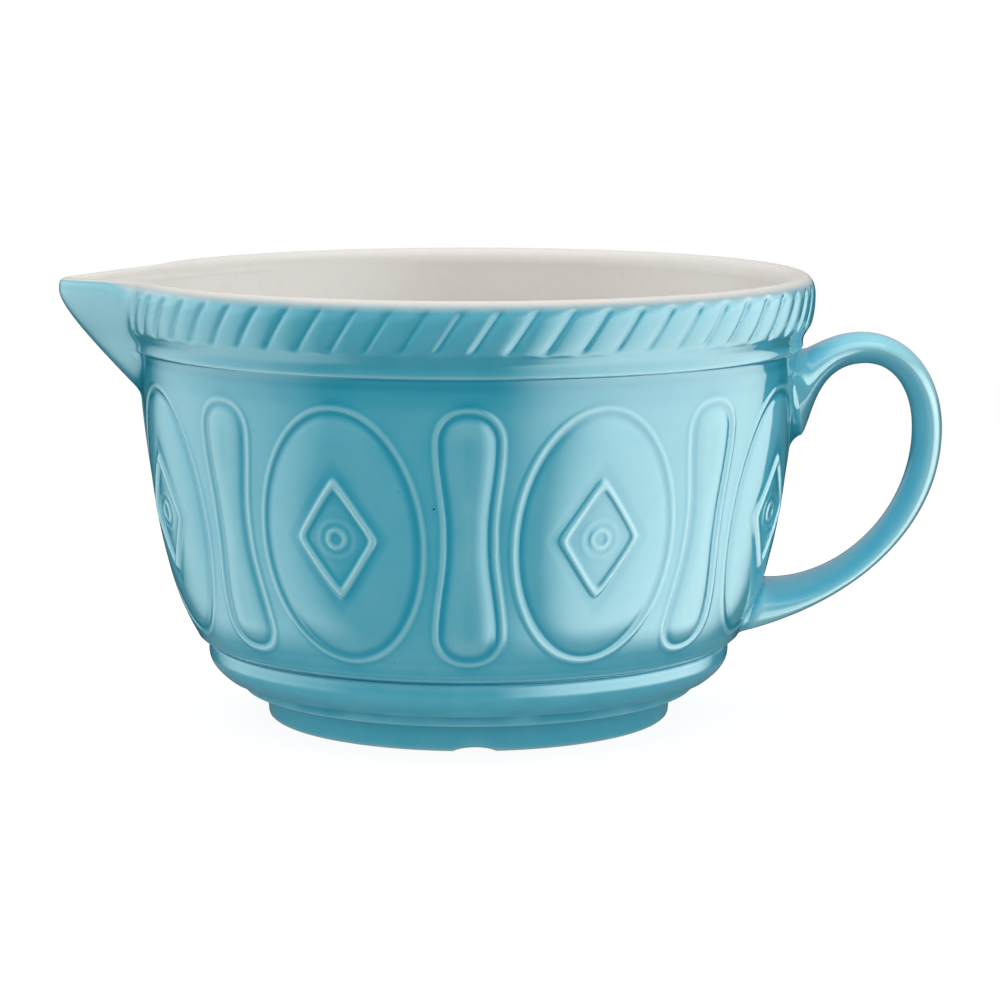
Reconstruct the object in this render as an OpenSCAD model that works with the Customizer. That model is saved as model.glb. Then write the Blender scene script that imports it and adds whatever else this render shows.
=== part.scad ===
// Batter bowl in glazed stoneware, in millimetres.
// The origin is the centre of the foot on the bowl's axis.
// +Z is up, the spout points to -X and the handle to +X.

/* [Bowl] */
// Height from the table to the crest of the lip
bowl_h = 134.8; // [125:0.2:150]
// Outer radius of the wall, just under the rim band
wall_top_r = 100; // [92:0.5:110]
// How much smaller the wall's radius is at its lower edge
wall_flare = 17; // [12:0.5:20]
// Thickness of the wall
wall_t = 6; // [4:0.25:7]
// Thickness of the floor
floor_t = 7.5; // [6:0.25:9]
// Thickness of the cream glaze inside
glaze_t = 0.5; // [0.3:0.1:0.8]

/* [Rim band] */
// How far the rim band stands out from the wall
band_out_w = 4.6; // [3.5:0.1:6]
// Height of the rim band with the lip
band_h = 21.8; // [18:0.2:25]
// How far the band's thin lower edge stands out from the wall
band_edge_w = 1; // [0.6:0.1:1.6]
// Height of the rounding of the lip
lip_h = 5.8; // [4:0.1:7]
// Distance from the lip's crest out to the band's face
lip_out_w = 3.7; // [2.5:0.1:4.5]
// Distance from the lip's crest in to the inside wall
lip_in_w = 4.6; // [3:0.1:5]
// Number of slanted strands round the band
strand_count = 64; // [48:8:72]
// Lean of the strands from the vertical, in degrees
strand_lean = 33; // [15:1:40]
// Depth of the grooves between the strands
groove_d = 0.9; // [0.4:0.1:1.2]
// Width of the grooves between the strands
groove_w = 2.9; // [2:0.1:4]

/* [Base] */
// Height of the foot ring
foot_h = 9; // [7:0.25:10]
// Height of the step between the foot ring and the base moulding
step_h = 4; // [3:0.1:6]
// Height of the moulding, from its sharp lower edge to its fullest line
moulding_low_h = 7.5; // [6:0.1:9]
// Height of the moulding, from its fullest line to the crease under the wall
moulding_top_h = 3.2; // [2.5:0.1:4.5]
// Height of the rounding under the wall's lower edge
wall_edge_h = 2.2; // [1.6:0.1:3]
// How far the moulding's fullest line lies inside the wall's lower edge
moulding_in_w = 3.6; // [2.5:0.1:5]
// How far the moulding draws in, down to its sharp lower edge
moulding_taper_w = 5.1; // [3.5:0.1:6.5]
// How far the step lies inside the moulding's lower edge
step_in_w = 5; // [3:0.1:7]
// How far the foot ring's outer edge lies inside the step
foot_in_w = 8.1; // [6:0.1:11]
// How much wider the foot ring is at its top
foot_flare_w = 0.8; // [0:0.1:2]
// Width of the foot ring
foot_w = 6.5; // [5:0.25:9]
// Rounding of the foot ring's edges
foot_edge_w = 0.7; // [0.3:0.1:1.2]
// Number of drain notches in the foot ring
notch_count = 3; // [1:1:6]
// Width of a drain notch
notch_w = 12.5; // [8:0.5:16]
// Depth of a drain notch
notch_d = 1.2; // [0.6:0.1:2]

/* [Spout] */
// How far the spout's tip reaches out from the rim band
spout_reach = 19.3; // [14:0.1:25]
// Depth of the spout, from the lip's crest to its keel on the wall
spout_drop = 37.8; // [32:0.2:42]
// Depth of the spout's furthest point under the lip's crest
spout_tip_drop = 3.8; // [3:0.1:6]
// How much the spout's crest falls towards its tip
spout_dip = 1.8; // [0:0.1:3]
// Roundness of the spout's nose
spout_nose_w = 6; // [4.5:0.1:8]
// Wall thickness of the spout
spout_t = 4.8; // [4:0.1:6]
// Half of the spout's opening angle, in degrees
spout_half_angle = 48; // [42:1:54]

/* [Handle] */
// How far the handle reaches out from the wall
handle_reach = 43.9; // [38:0.1:52]
// Thickness of the handle's strap
handle_t = 9; // [7:0.1:11]
// Width of the handle's strap at the grip
handle_w = 22; // [16:0.5:28]
// Width of the handle's flared roots on the wall
handle_root_w = 42; // [32:0.5:48]
// Height of the handle's upper root
handle_root_h = 24.8; // [18:0.2:28]
// Height of the handle's lower root
handle_foot_h = 16; // [12:0.2:20]

/* [Relief] */
// Number of oval panels, and of waisted panels between them
motif_count = 8; // [6:1:8]
// Distance from the wall's lower edge up to the relief
relief_low_gap = 4.1; // [3:0.1:8]
// Distance from the relief up to the rim band
relief_top_gap = 7.1; // [5:0.1:12]
// Clear width between an oval and the waist of the panel beside it
relief_clear_w = 6.2; // [5:0.1:9]
// Width of a waisted panel's bead at its round ends, outside
column_end_w = 20.4; // [16:0.2:21]
// Width of a waisted panel's bead at its waist, outside
column_waist_w = 15.8; // [13:0.2:18]
// Width of the raised bead round a panel
bead_w = 1.5; // [1:0.1:2]
// Height of the raised bead
bead_h = 0.6; // [0.4:0.1:1]
// Width of the groove between a bead and its panel
panel_gap_w = 1.6; // [1:0.1:2.4]
// Height of a panel's face
panel_h = 1.1; // [0.8:0.1:1.6]
// Width of the bevel step round a panel
panel_step_w = 2.6; // [1.5:0.1:4]
// Width of a lozenge, corner to corner
lozenge_w = 22.4; // [16:0.2:26]
// Height of a lozenge, corner to corner
lozenge_h = 33.6; // [26:0.2:38]
// Width of the lozenge's ridge
ridge_w = 1.3; // [1:0.1:2]
// How far the ridges and rings stand out from the panel
ridge_h = 0.8; // [0.5:0.1:1.2]
// Radius of the ring in the lozenge
ring_r = 3.2; // [2.6:0.1:4]

/* [Hidden] */

// Round cylinders and circles are exact, so the segment count only sets the preview.
$fn = 96;
// How far a cutter runs past what it cuts
overrun = 10;
// Steps along a curved outline
curve_steps = 14;
// Degrees between the points of the lip's rounding, a divisor of 90 and of the glaze's end angle
lip_step = 6;

// Heights
moulding_low_z = foot_h + step_h;
moulding_z = moulding_low_z + moulding_low_h;
moulding_top_z = moulding_z + moulding_top_h;
wall_low_z = moulding_top_z + wall_edge_h;
floor_z = foot_h + floor_t;
band_low_z = bowl_h - band_h;
lip_z = bowl_h - lip_h;
wall_h = band_low_z - wall_low_z;

// Radii
band_r = wall_top_r + band_out_w;
lip_r = band_r - lip_out_w;
wall_low_r = wall_top_r - wall_flare;
moulding_r = wall_low_r - moulding_in_w;
moulding_low_r = moulding_r - moulding_taper_w;
step_r = moulding_low_r - step_in_w;
foot_r = step_r - foot_in_w;

// Control points of the wall's outer curve, as shares of its flare and height
wall_arm_shares = [[0, 0], [0.7, 0.2], [0.94, 0.77], [1, 1]];
// Control points of the inside wall, as shares of the same
inside_arm_shares = [[-0.06, 0.1], [0.38, 0.26], [0.92, 0.62], [1, 1]];
// Control points of the inside corner, as shares of the low inside wall's radius and height
corner_share = [[0.62, 0], [0.8, 0], [0.89, 0.26], [1, 1]];
// The band's lower cove, as shares of the overhang and of the cove's height
cove_shares = [[1, 1], [1, 0.22], [0, 0.27], [0, 0]];
// Height of the band's plain lower edge, as a share of the band's height
band_edge_share = 0.055;
// The rounding of that edge: where it starts, as a share of its height, and where it ends, of its width
edge_round_shares = [0.4, 0.6];
// The rounding of the wall's lower edge, as shares of its overhang and of its height
wall_edge_shares = [0.83, 0.4];
// How sharply the base moulding swells
swell_power = 1.75;
// Angle on the lip's rounding, up from level, where the inside glaze ends
glaze_end_angle = 48;

// Colours
turquoise = [0.42, 0.72, 0.78];
deep_turquoise = [0.32, 0.64, 0.72];
pale_turquoise = [0.62, 0.84, 0.88];
cream = [0.87, 0.85, 0.81];

// A point on the cubic curve through four control points
function bezier(p, t) =
    pow(1 - t, 3) * p[0] + 3 * pow(1 - t, 2) * t * p[1] + 3 * (1 - t) * t * t * p[2] + pow(t, 3) * p[3];
function bezier_run(p, steps) = [for (i = [0:steps]) bezier(p, i / steps)];
function mix(a, b, share) = a + (b - a) * share;
function reversed(list) = [for (i = [len(list) - 1:-1:0]) list[i]];

// Outer wall, from its lower edge up to the band
wall_curve = [for (s = wall_arm_shares) [wall_low_r + wall_flare * s[0], wall_low_z + wall_h * s[1]]];
wall_run = bezier_run(wall_curve, curve_steps);
function grown(run, extra) = [for (p = run) [p[0] + extra, p[1]]];

// The rounded lip: angle 0 is outward and level, 90 is the crest, 180 is inward
function lip_point(angle, inset) =
    let (reach = angle < 90 ? lip_out_w : lip_in_w - inset)
    [lip_r + reach * cos(angle), lip_z + (lip_h - inset) * sin(angle)];
function lip_run(from, to, inset) = [for (a = [from:-lip_step:to]) lip_point(a, inset)];

// The inside surface from the axis to the lip, moved into the clay by an inset
function inside_run(inset) =
    let (low_r = wall_low_r - wall_t + inset)
    let (wall = [for (s = inside_arm_shares) [low_r + wall_flare * s[0], wall_low_z + wall_h * s[1]]])
    let (floor_level = floor_z - inset)
    let (corner = [for (s = corner_share) [wall[0][0] * s[0], mix(floor_level, wall[0][1], s[1])]])
    concat(
        [[0, floor_level]],
        bezier_run(corner, curve_steps),
        [for (i = [1:curve_steps]) bezier(wall, i / curve_steps)],
        lip_run(180, glaze_end_angle, inset)
    );

// The band's outer face, from the lip's rounding down to its thin lower edge
band_edge_r = wall_top_r + band_edge_w;
band_edge_z = band_low_z + band_h * band_edge_share;
cove_curve = [
    for (s = cove_shares) [mix(band_edge_r, band_r, s[0]), mix(band_edge_z, lip_z, s[1])]
];
function band_run() = concat(
    lip_run(90, 0, 0),
    [for (i = [1:curve_steps]) bezier(cove_curve, i / curve_steps)],
    [
        [band_edge_r, mix(band_low_z, band_edge_z, edge_round_shares[0])],
        [mix(wall_top_r, band_edge_r, edge_round_shares[1]), band_low_z]
    ]
);

// The moulding's face, from the crease down to its lower edge
function moulding_face(z) =
    moulding_r - (moulding_r - moulding_low_r)
    * pow(abs(z - moulding_z) / (moulding_z - moulding_low_z), swell_power);
moulding_run = [
    for (i = [0:curve_steps])
    let (z = mix(moulding_top_z, moulding_low_z, i / curve_steps))
    [moulding_face(z), z]
];

// Rounding of the wall's lower edge, from the crease out to the wall
crease_r = moulding_face(moulding_top_z);
wall_edge_run = [
    [crease_r, moulding_top_z],
    [mix(crease_r, wall_low_r, wall_edge_shares[0]), mix(moulding_top_z, wall_low_z, wall_edge_shares[1])]
];

// Half profiles of the bowl

module glaze_profile() {
    polygon(concat(inside_run(0), reversed(inside_run(glaze_t))));
}

// Everything within the bowl's outer face, without the relief
module envelope_profile() {
    polygon(concat(
        [[0, foot_h], [step_r, foot_h], [step_r, moulding_low_z]],
        reversed(moulding_run),
        wall_edge_run,
        wall_run,
        reversed(band_run()),
        [[0, bowl_h]]
    ));
}

// The air inside the bowl and above the inner half of the lip
module air_profile() {
    polygon(concat(
        [for (p = inside_run(0)) if (p[0] < lip_r) p],
        [[lip_r, bowl_h], [lip_r, bowl_h + overrun], [0, bowl_h + overrun]]
    ));
}

module body_profile() {
    difference() {
        polygon(concat(
            [[0, foot_h], [step_r, foot_h], [step_r, moulding_low_z], [moulding_low_r, moulding_low_z]],
            [[moulding_low_r, moulding_top_z]],
            wall_edge_run,
            wall_run,
            [[wall_top_r, bowl_h], [0, bowl_h]]
        ));
        air_profile();
        glaze_profile();
    }
}

module band_profile() {
    difference() {
        polygon(concat([[wall_top_r, band_low_z], [wall_top_r, bowl_h], [lip_r, bowl_h]], band_run()));
        air_profile();
        glaze_profile();
    }
}

// The spout's beak

spout_low_z = bowl_h - spout_drop;
spout_tip_z = bowl_h - spout_tip_drop;
spout_tip_x = band_r + spout_reach;
// Control points of the keel, as shares of the reach and of the keel's height
keel_shares = [[-0.06, 0], [0.4, 0.31], [1, 0.78], [1, 1]];
keel_curve = [
    for (s = keel_shares) [mix(wall_top_r, spout_tip_x, s[0]), mix(spout_low_z, spout_tip_z, s[1])]
];
// The beak's sides run back past the rim by this share of the band's radius
beak_half_share = 0.4;
beak_half_w = band_r * beak_half_share;
// They end inside the bowl, at this share of the wall's low radius
beak_back_share = 0.7;
beak_back_x = wall_low_r * beak_back_share;
beak_levels = 16;
beak_columns = 24;
// Roundness of the channel's nose, as a share of the beak's
channel_nose_share = 0.6;
// How far the channel's keel lies above the beak's, as a share of the wall between them
channel_lift_share = 0.42;

// How far out the beak's side lies at a distance from its middle plane
function beak_x(y, tip_x, nose) =
    tip_x - (sqrt(y * y + nose * nose) - nose) / tan(spout_half_angle);
// The crest falls in a straight line from where the sides leave the lip to the tip
beak_root_x = sqrt(lip_r * lip_r - beak_half_w * beak_half_w);
function crest_fall(x) = spout_dip * (x - beak_root_x) / (spout_tip_x - beak_root_x);

// One level ring of the beak, moved in by an inset
function beak_ring(level, inset, nose, rise) =
    let (k = bezier(keel_curve, level))
    let (tip = k[0] - inset, z = k[1] + inset * channel_lift_share + rise)
    let (fall = max(0, z - spout_low_z) / (spout_tip_z - spout_low_z))
    concat(
        [
            for (i = [0:beak_columns])
            let (y = mix(-beak_half_w, beak_half_w, i / beak_columns), x = beak_x(y, tip, nose))
            [-x, y, z - crest_fall(x) * fall]
        ],
        [
            for (side = [1, -1])
            [-beak_back_x, side * beak_half_w, z - crest_fall(beak_back_x) * fall]
        ]
    );

// A closed skin over rings with the same number of points
module skin(rings) {
    n = len(rings[0]);
    last = len(rings) - 1;
    polyhedron(
        points = [for (ring = rings) each ring],
        faces = concat(
            [[for (j = [n - 1:-1:0]) j]],
            [
                for (i = [0:last - 1], j = [0:n - 1])
                let (k = (j + 1) % n)
                let (low = i * n, high = low + n)
                each [[low + j, high + k, high + j], [low + j, low + k, high + k]]
            ],
            [[for (j = [0:n - 1]) last * n + j]]
        )
    );
}

// The beak up to its crest
module beak() {
    rings = [for (i = [0:beak_levels]) beak_ring(i / beak_levels, 0, spout_nose_w, 0)];
    crest = beak_ring(1, 0, spout_nose_w, spout_tip_drop);
    skin(concat(rings, [crest]));
}

// The pouring channel in the beak, open at the top
module channel(inset) {
    nose = spout_nose_w * channel_nose_share;
    rings = [for (i = [0:beak_levels]) beak_ring(i / beak_levels, inset, nose, 0)];
    skin(concat(rings, [beak_ring(1, inset, nose, spout_tip_drop + overrun)]));
}

// The handle's strap

// The strap's outer edge, three curves end to end, as shares of its reach and of the wall's height
strap_outer_shares = [
    [-0.09, 0.943], [0.066, 0.972], [0.212, 1.04],
    [0.444, 1.04], [0.784, 1.04], [1, 0.885],
    [1, 0.7], [1, 0.358], [0.438, 0.07], [-0.34, -0.008]
];
// The strap's inner edge from the outer one, as shares of the strap's thickness or its root's height
strap_inner_shares = [
    [0.11, -1], [-0.02, -1.07], [-0.38, -1.04],
    [0.11, -1.04], [-0.6, -1.04], [-0.98, -0.44],
    [-0.98, 0], [-0.98, 0.46], [-0.78, 0.99], [0.33, 1]
];
strap_depths = [
    handle_root_h, handle_root_h, handle_t, handle_t, handle_t, handle_t, handle_t, handle_t, handle_t,
    handle_foot_h
];
strap_outer = [
    for (s = strap_outer_shares) [wall_top_r + handle_reach * s[0], wall_low_z + wall_h * s[1]]
];
strap_inner = [for (i = [0:len(strap_outer) - 1]) strap_outer[i] + strap_depths[i] * strap_inner_shares[i]];
strap_steps = 14;
strap_sides = 20;
// The lower flare starts at this share of the last curve
flare_start_share = 0.25;
// How much wider the upper root is at its top than at its bottom
root_egg_share = 0.3;
// How quickly the upper and the lower root widen
root_powers = [2, 1.6];

// A point on one edge of the strap, from 0 at the upper root to 3 at the lower one
function strap_edge(points, place) =
    let (part = min(2, floor(place)))
    bezier([for (i = [0:3]) points[part * 3 + i]], place - part);
function strap_half_w(place) =
    let (upper = pow(max(0, 1 - place), root_powers[0]))
    let (lower = pow(max(0, (place - 2 - flare_start_share) / (1 - flare_start_share)), root_powers[1]))
    mix(handle_w, handle_root_w, max(upper, lower)) / 2;

function strap_ring(place) =
    let (outer = strap_edge(strap_outer, place), inner = strap_edge(strap_inner, place))
    let (egg = root_egg_share * pow(max(0, 1 - place), root_powers[0]), half_w = strap_half_w(place))
    [
        for (j = [0:strap_sides - 1])
        let (a = 360 * j / strap_sides, p = mix(inner, outer, (1 + cos(a)) / 2))
        [p[0], half_w * sin(a) * (1 + egg * cos(a)), p[1]]
    ];

module strap() {
    skin([for (i = [0:3 * strap_steps]) strap_ring(i / strap_steps)]);
}

// The relief

relief_low_z = wall_low_z + relief_low_gap;
relief_top_z = band_low_z - relief_top_gap;
relief_z = (relief_low_z + relief_top_z) / 2;
relief_half_h = (relief_top_z - relief_low_z) / 2;
oval_points = 48;
column_end_points = 12;
column_side_points = 7;
ring_points = 24;
motif_step = 360 / motif_count;
panel_inset = bead_w + panel_gap_w;
oval_w = 2 * PI * wall_top_r / motif_count - column_waist_w - 2 * relief_clear_w;

// A shell on the wall between two heights of relief
module wall_shell(low, high) {
    rotate_extrude()
        polygon(concat(grown(wall_run, low), reversed(grown(wall_run, high))));
}

// Copies of an upright outline, pushed out through the wall all round, the first at this angle from the front
module round_wall(first_angle) {
    for (i = [0:motif_count - 1])
        rotate([0, 0, first_angle + i * motif_step])
            rotate([90, 0, 0])
                linear_extrude(height = band_r + overrun)
                    children();
}

module oval_outline(inset) {
    polygon([
        for (i = [0:oval_points - 1])
        let (a = 360 * i / oval_points)
        [(oval_w / 2 - inset) * cos(a), relief_z + (relief_half_h - inset) * sin(a)]
    ]);
}

// Two round ends, joined by sides that curve in to the waist
module column_outline(inset) {
    end_r = column_end_w / 2 - inset;
    waist_half_w = column_waist_w / 2 - inset;
    end_drop = relief_half_h - column_end_w / 2;
    side = [
        for (i = [1:column_side_points])
        let (v = 1 - 2 * i / (column_side_points + 1))
        [mix(waist_half_w, end_r, v * v), v * end_drop]
    ];
    half = concat(
        [
            for (i = [0:column_end_points])
            let (a = 180 * i / column_end_points)
            [end_r * cos(a), end_drop + end_r * sin(a)]
        ],
        [for (p = side) [-p[0], p[1]]]
    );
    translate([0, relief_z])
        polygon(concat(half, [for (p = half) -p]));
}

module ring_outline(r) {
    polygon([
        for (i = [0:ring_points - 1])
        let (a = 360 * i / ring_points)
        [r * cos(a), relief_z + r * sin(a)]
    ]);
}

module lozenge_outline(inset) {
    half_w = lozenge_w / 2;
    half_h = lozenge_h / 2;
    scale_in = 1 - inset * sqrt(half_w * half_w + half_h * half_h) / (half_w * half_h);
    translate([0, relief_z])
        polygon([for (a = [0:90:270]) scale_in * [half_w * cos(a), half_h * sin(a)]]);
}

// What is luted over the wall takes the relief's place there
module clear_of_luting() {
    difference() {
        children();
        beak();
        strap();
    }
}

module bowl_body() {
    color(turquoise)
        difference() {
            rotate_extrude() body_profile();
            channel(spout_t - glaze_t);
        }
}

// Straight round cutters, laid at a slant on the band, run out by themselves at its cove and lip
groove_centre_share = 0.6;

module groove_cutters() {
    cutter_r = (groove_w * groove_w / 4 + groove_d * groove_d) / (2 * groove_d);
    strand_step = 360 / strand_count;
    spout_angle = atan(beak_half_w / wall_top_r);
    for (i = [0:strand_count - 1])
        let (a = (i + 0.5) * strand_step, from_spout = abs(a - 180))
        if (from_spout > spout_angle)
            rotate([0, 0, a])
                translate([band_r - groove_d + cutter_r, 0, mix(band_low_z, bowl_h, groove_centre_share)])
                    rotate([-strand_lean, 0, 0])
                        cylinder(r = cutter_r, h = 2 * band_h, center = true);
}

module rim_band() {
    color(pale_turquoise)
        difference() {
            rotate_extrude() band_profile();
            channel(spout_t - glaze_t);
            groove_cutters();
        }
}

module base_moulding() {
    color(turquoise)
        rotate_extrude()
            polygon(concat([[moulding_low_r, moulding_top_z]], moulding_run));
}

module foot_ring() {
    notch_r = (notch_w * notch_w / 4 + notch_d * notch_d) / (2 * notch_d);
    foot_in_r = foot_r - foot_w;
    color(deep_turquoise)
        difference() {
            rotate_extrude()
                polygon([
                    [foot_in_r + foot_edge_w, 0],
                    [foot_r - foot_edge_w, 0],
                    [foot_r, foot_edge_w],
                    [foot_r + foot_flare_w, foot_h],
                    [foot_in_r - foot_flare_w, foot_h],
                    [foot_in_r, foot_edge_w]
                ]);
            for (i = [0:notch_count - 1])
                rotate([0, 0, i * 360 / notch_count - 90])
                    translate([0, 0, notch_d - notch_r])
                        rotate([0, 90, 0])
                            cylinder(r = notch_r, h = foot_r + overrun);
        }
}

module inside_glaze() {
    color(cream)
        difference() {
            union() {
                rotate_extrude() glaze_profile();
                intersection() {
                    channel(spout_t - glaze_t);
                    beak();
                }
            }
            channel(spout_t);
            rotate_extrude() air_profile();
        }
}

module pouring_spout() {
    color(turquoise)
        difference() {
            beak();
            channel(spout_t - glaze_t);
            rotate_extrude() envelope_profile();
            cylinder(r = lip_r, h = bowl_h + overrun);
        }
}

module handle() {
    color(turquoise)
        difference() {
            strap();
            rotate_extrude() envelope_profile();
        }
}

module oval_panels() {
    color(turquoise)
        clear_of_luting()
            union() {
                intersection() {
                    wall_shell(0, panel_h / 2);
                    round_wall(motif_step / 2) oval_outline(panel_inset);
                }
                intersection() {
                    wall_shell(0, panel_h);
                    round_wall(motif_step / 2) oval_outline(panel_inset + panel_step_w);
                }
            }
}

module oval_beads() {
    color(pale_turquoise)
        clear_of_luting()
            intersection() {
                wall_shell(0, bead_h);
                round_wall(motif_step / 2)
                    difference() {
                        oval_outline(0);
                        oval_outline(bead_w);
                    }
            }
}

module waisted_panels() {
    color(turquoise)
        clear_of_luting()
            union() {
                intersection() {
                    wall_shell(0, panel_h / 2);
                    round_wall(0) column_outline(panel_inset);
                }
                intersection() {
                    wall_shell(0, panel_h);
                    round_wall(0) column_outline(panel_inset + panel_step_w / 2);
                }
            }
}

module waisted_beads() {
    color(pale_turquoise)
        clear_of_luting()
            intersection() {
                wall_shell(0, bead_h);
                round_wall(0)
                    difference() {
                        column_outline(0);
                        column_outline(bead_w);
                    }
            }
}

module diamond_frames() {
    color(pale_turquoise)
        intersection() {
            wall_shell(panel_h, panel_h + ridge_h);
            round_wall(motif_step / 2)
                difference() {
                    lozenge_outline(0);
                    lozenge_outline(ridge_w);
                }
        }
}

module ring_bosses() {
    color(pale_turquoise)
        intersection() {
            wall_shell(panel_h, panel_h + ridge_h);
            round_wall(motif_step / 2)
                difference() {
                    ring_outline(ring_r);
                    ring_outline(ring_r - ridge_w);
                }
        }
}

bowl_body();
rim_band();
base_moulding();
foot_ring();
inside_glaze();
pouring_spout();
handle();
oval_panels();
oval_beads();
waisted_panels();
waisted_beads();
diamond_frames();
ring_bosses();
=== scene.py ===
"""The looks of a turquoise glazed stoneware batter bowl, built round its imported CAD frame.

The bowl, its rim band, spout, relief and base are cut from one continuous surface, so that the fired
glaze runs over every joint without a seam. Sizes of the pot are millimetres, as in the CAD, and those of
the studio are metres, as in Blender.
"""

import logging
import math
from dataclasses import dataclass, field
from enum import Enum
from functools import partial
from typing import Any, Sequence

import bpy
import numpy as np
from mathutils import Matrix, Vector


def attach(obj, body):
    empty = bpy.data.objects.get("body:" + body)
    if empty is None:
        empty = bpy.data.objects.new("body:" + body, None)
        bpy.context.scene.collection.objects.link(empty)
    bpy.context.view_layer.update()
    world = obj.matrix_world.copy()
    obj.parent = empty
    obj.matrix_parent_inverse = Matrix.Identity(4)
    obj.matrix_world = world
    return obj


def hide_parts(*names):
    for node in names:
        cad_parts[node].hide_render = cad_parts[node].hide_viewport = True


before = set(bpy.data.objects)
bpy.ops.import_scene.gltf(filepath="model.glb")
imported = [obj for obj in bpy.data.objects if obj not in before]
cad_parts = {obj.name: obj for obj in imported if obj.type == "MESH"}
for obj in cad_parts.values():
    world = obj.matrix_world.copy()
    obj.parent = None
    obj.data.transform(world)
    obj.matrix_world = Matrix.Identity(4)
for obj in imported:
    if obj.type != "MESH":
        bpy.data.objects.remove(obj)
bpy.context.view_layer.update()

log = logging.getLogger("batter_bowl")
Array = np.ndarray
Pair = tuple[float, float]
Triple = tuple[float, float, float]

METRES_PER_MM = 0.001
TINY = 1e-9
BODY = "root"


class Part(Enum):
    """The pieces that the continuous vessel surface is cut into, each named for its CAD node."""

    INSIDE_GLAZE = "inside_glaze"
    RIM_BAND = "rim_band"
    POURING_SPOUT = "pouring_spout"
    BOWL_BODY = "bowl_body"
    OVAL_PANELS = "oval_panels"
    OVAL_BEADS = "oval_beads"
    WAISTED_PANELS = "waisted_panels"
    WAISTED_BEADS = "waisted_beads"
    DIAMOND_FRAMES = "diamond_frames"
    RING_BOSSES = "ring_bosses"
    BASE_MOULDING = "base_moulding"
    FOOT_RING = "foot_ring"


class Section(Enum):
    """The stretches of the vessel's profile, in the order in which it is drawn."""

    INSIDE = 0
    LIP_IN = 1
    LIP_OUT = 2
    BAND = 3
    WALL = 4
    MOULDING = 5
    STEP = 6
    FOOT = 7
    UNDERSIDE = 8


def smooth_max(a: Array | float, b: Array, reach: float) -> Array:
    """Gives the larger of two radii, with a fillet that starts this far from where they cross."""
    share = np.clip(0.5 + 0.5 * (a - b) / reach, 0, 1)
    return b + (a - b) * share + reach * share * (1 - share)


def smooth_step(low: float, high: float, x: Array) -> Array:
    """Goes smoothly from 0 at low to 1 at high."""
    t = np.clip((x - low) / (high - low), 0, 1)
    return t * t * (3 - 2 * t)


def smooth_band(rise: Pair, fall: Pair, x: Array) -> Array:
    """Goes smoothly from 0 to 1 over the rise, and back to 0 over the fall."""
    return smooth_step(*rise, x) * (1 - smooth_step(*fall, x))


def soft_bump(x: Array, half_width: float) -> Array:
    """A soft ridge of height 1 at 0 that dies out at the half width."""
    t = np.clip(np.abs(x) / half_width, 0, 1)
    return (1 - t * t) ** 2


def placed(arms: Sequence[Pair], start: Pair, size: Pair) -> list[Pair]:
    """Places control points that are given as shares of a size, counted from a start."""
    return [(start[0] + size[0] * a, start[1] + size[1] * b) for a, b in arms]


def bezier(points: Sequence[Sequence[float]], steps: int) -> Array:
    """Samples the cubic curve through four control points.

    Args:
        points: The control points.
        steps: The number of steps.

    Returns:
        steps + 1 points, one a row.
    """
    t = np.linspace(0, 1, steps + 1)[:, None]
    p = np.array(points, float)
    return (1 - t) ** 3 * p[0] + 3 * (1 - t) ** 2 * t * p[1] + 3 * (1 - t) * t * t * p[2] + t**3 * p[3]


def radius_at(z: Array, run: Array) -> Array:
    """Reads radii off a run of (r, z) points at given heights, held level past its ends."""
    order = np.argsort(run[:, 1])
    return np.interp(z, run[order, 1], run[order, 0])


def even_run(points: Array, step: float) -> Array:
    """Resamples a run of points at even spacing.

    Args:
        points: The run's points, one a row.
        step: The wanted spacing.

    Returns:
        Points at even spacing, both ends kept.
    """
    length = np.concatenate([[0], np.cumsum(np.linalg.norm(np.diff(points, axis=0), axis=1))])
    stations = np.linspace(0, length[-1], max(2, int(round(length[-1] / step)) + 1))
    return np.stack([np.interp(stations, length, points[:, k]) for k in range(points.shape[1])], 1)


def rounded_run(corners: Sequence[Triple], step: float) -> Array:
    """Rounds the corners of a run of (r, z, rounding) points and resamples it.

    Args:
        corners: The corners, each with the length of run that its rounding takes on either side.
        step: The wanted spacing.

    Returns:
        The rounded run's points.
    """
    most, arc_points = 0.48, 7
    out = [np.array(corners[0][:2], float)]
    for before, here, after in zip(corners[:-2], corners[1:-1], corners[2:]):
        p, q, s = (np.array(c[:2], float) for c in (before, here, after))
        to_p, to_s = np.linalg.norm(q - p), np.linalg.norm(s - q)
        cut = min(here[2], most * to_p, most * to_s)
        if cut <= 0:
            out.append(q)
            continue
        start, end = q + (p - q) / to_p * cut, q + (s - q) / to_s * cut
        for t in np.linspace(0, 1, arc_points):
            out.append((1 - t) ** 2 * start + 2 * t * (1 - t) * q + t * t * end)
    out.append(np.array(corners[-1][:2], float))
    return even_run(np.array(out), step)


@dataclass
class Skin:
    """A finished surface: a grid that closes on itself by column, with its normals and glaze values."""

    points: Array
    normals: Array
    values: dict[str, Array]


@dataclass
class WallCurve:
    """The outer wall's curve, a cubic as in the CAD."""

    low: Pair = (83.0, 25.9)
    top: Pair = (100.0, 113.0)
    arms: tuple[Pair, ...] = ((0, 0), (0.7, 0.2), (0.94, 0.77), (1, 1))
    steps: int = 200
    low_rounding: float = 1.6
    band_z: float = 113.05

    def run(self) -> Array:
        """Points (r, z) from the lower edge up to the band."""
        size = (self.top[0] - self.low[0], self.top[1] - self.low[1])
        return bezier(placed(self.arms, self.low, size), self.steps)

    def radius(self, z: Array) -> Array:
        """The wall's radius at a height, held level past its ends."""
        return radius_at(z, self.run())


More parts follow.
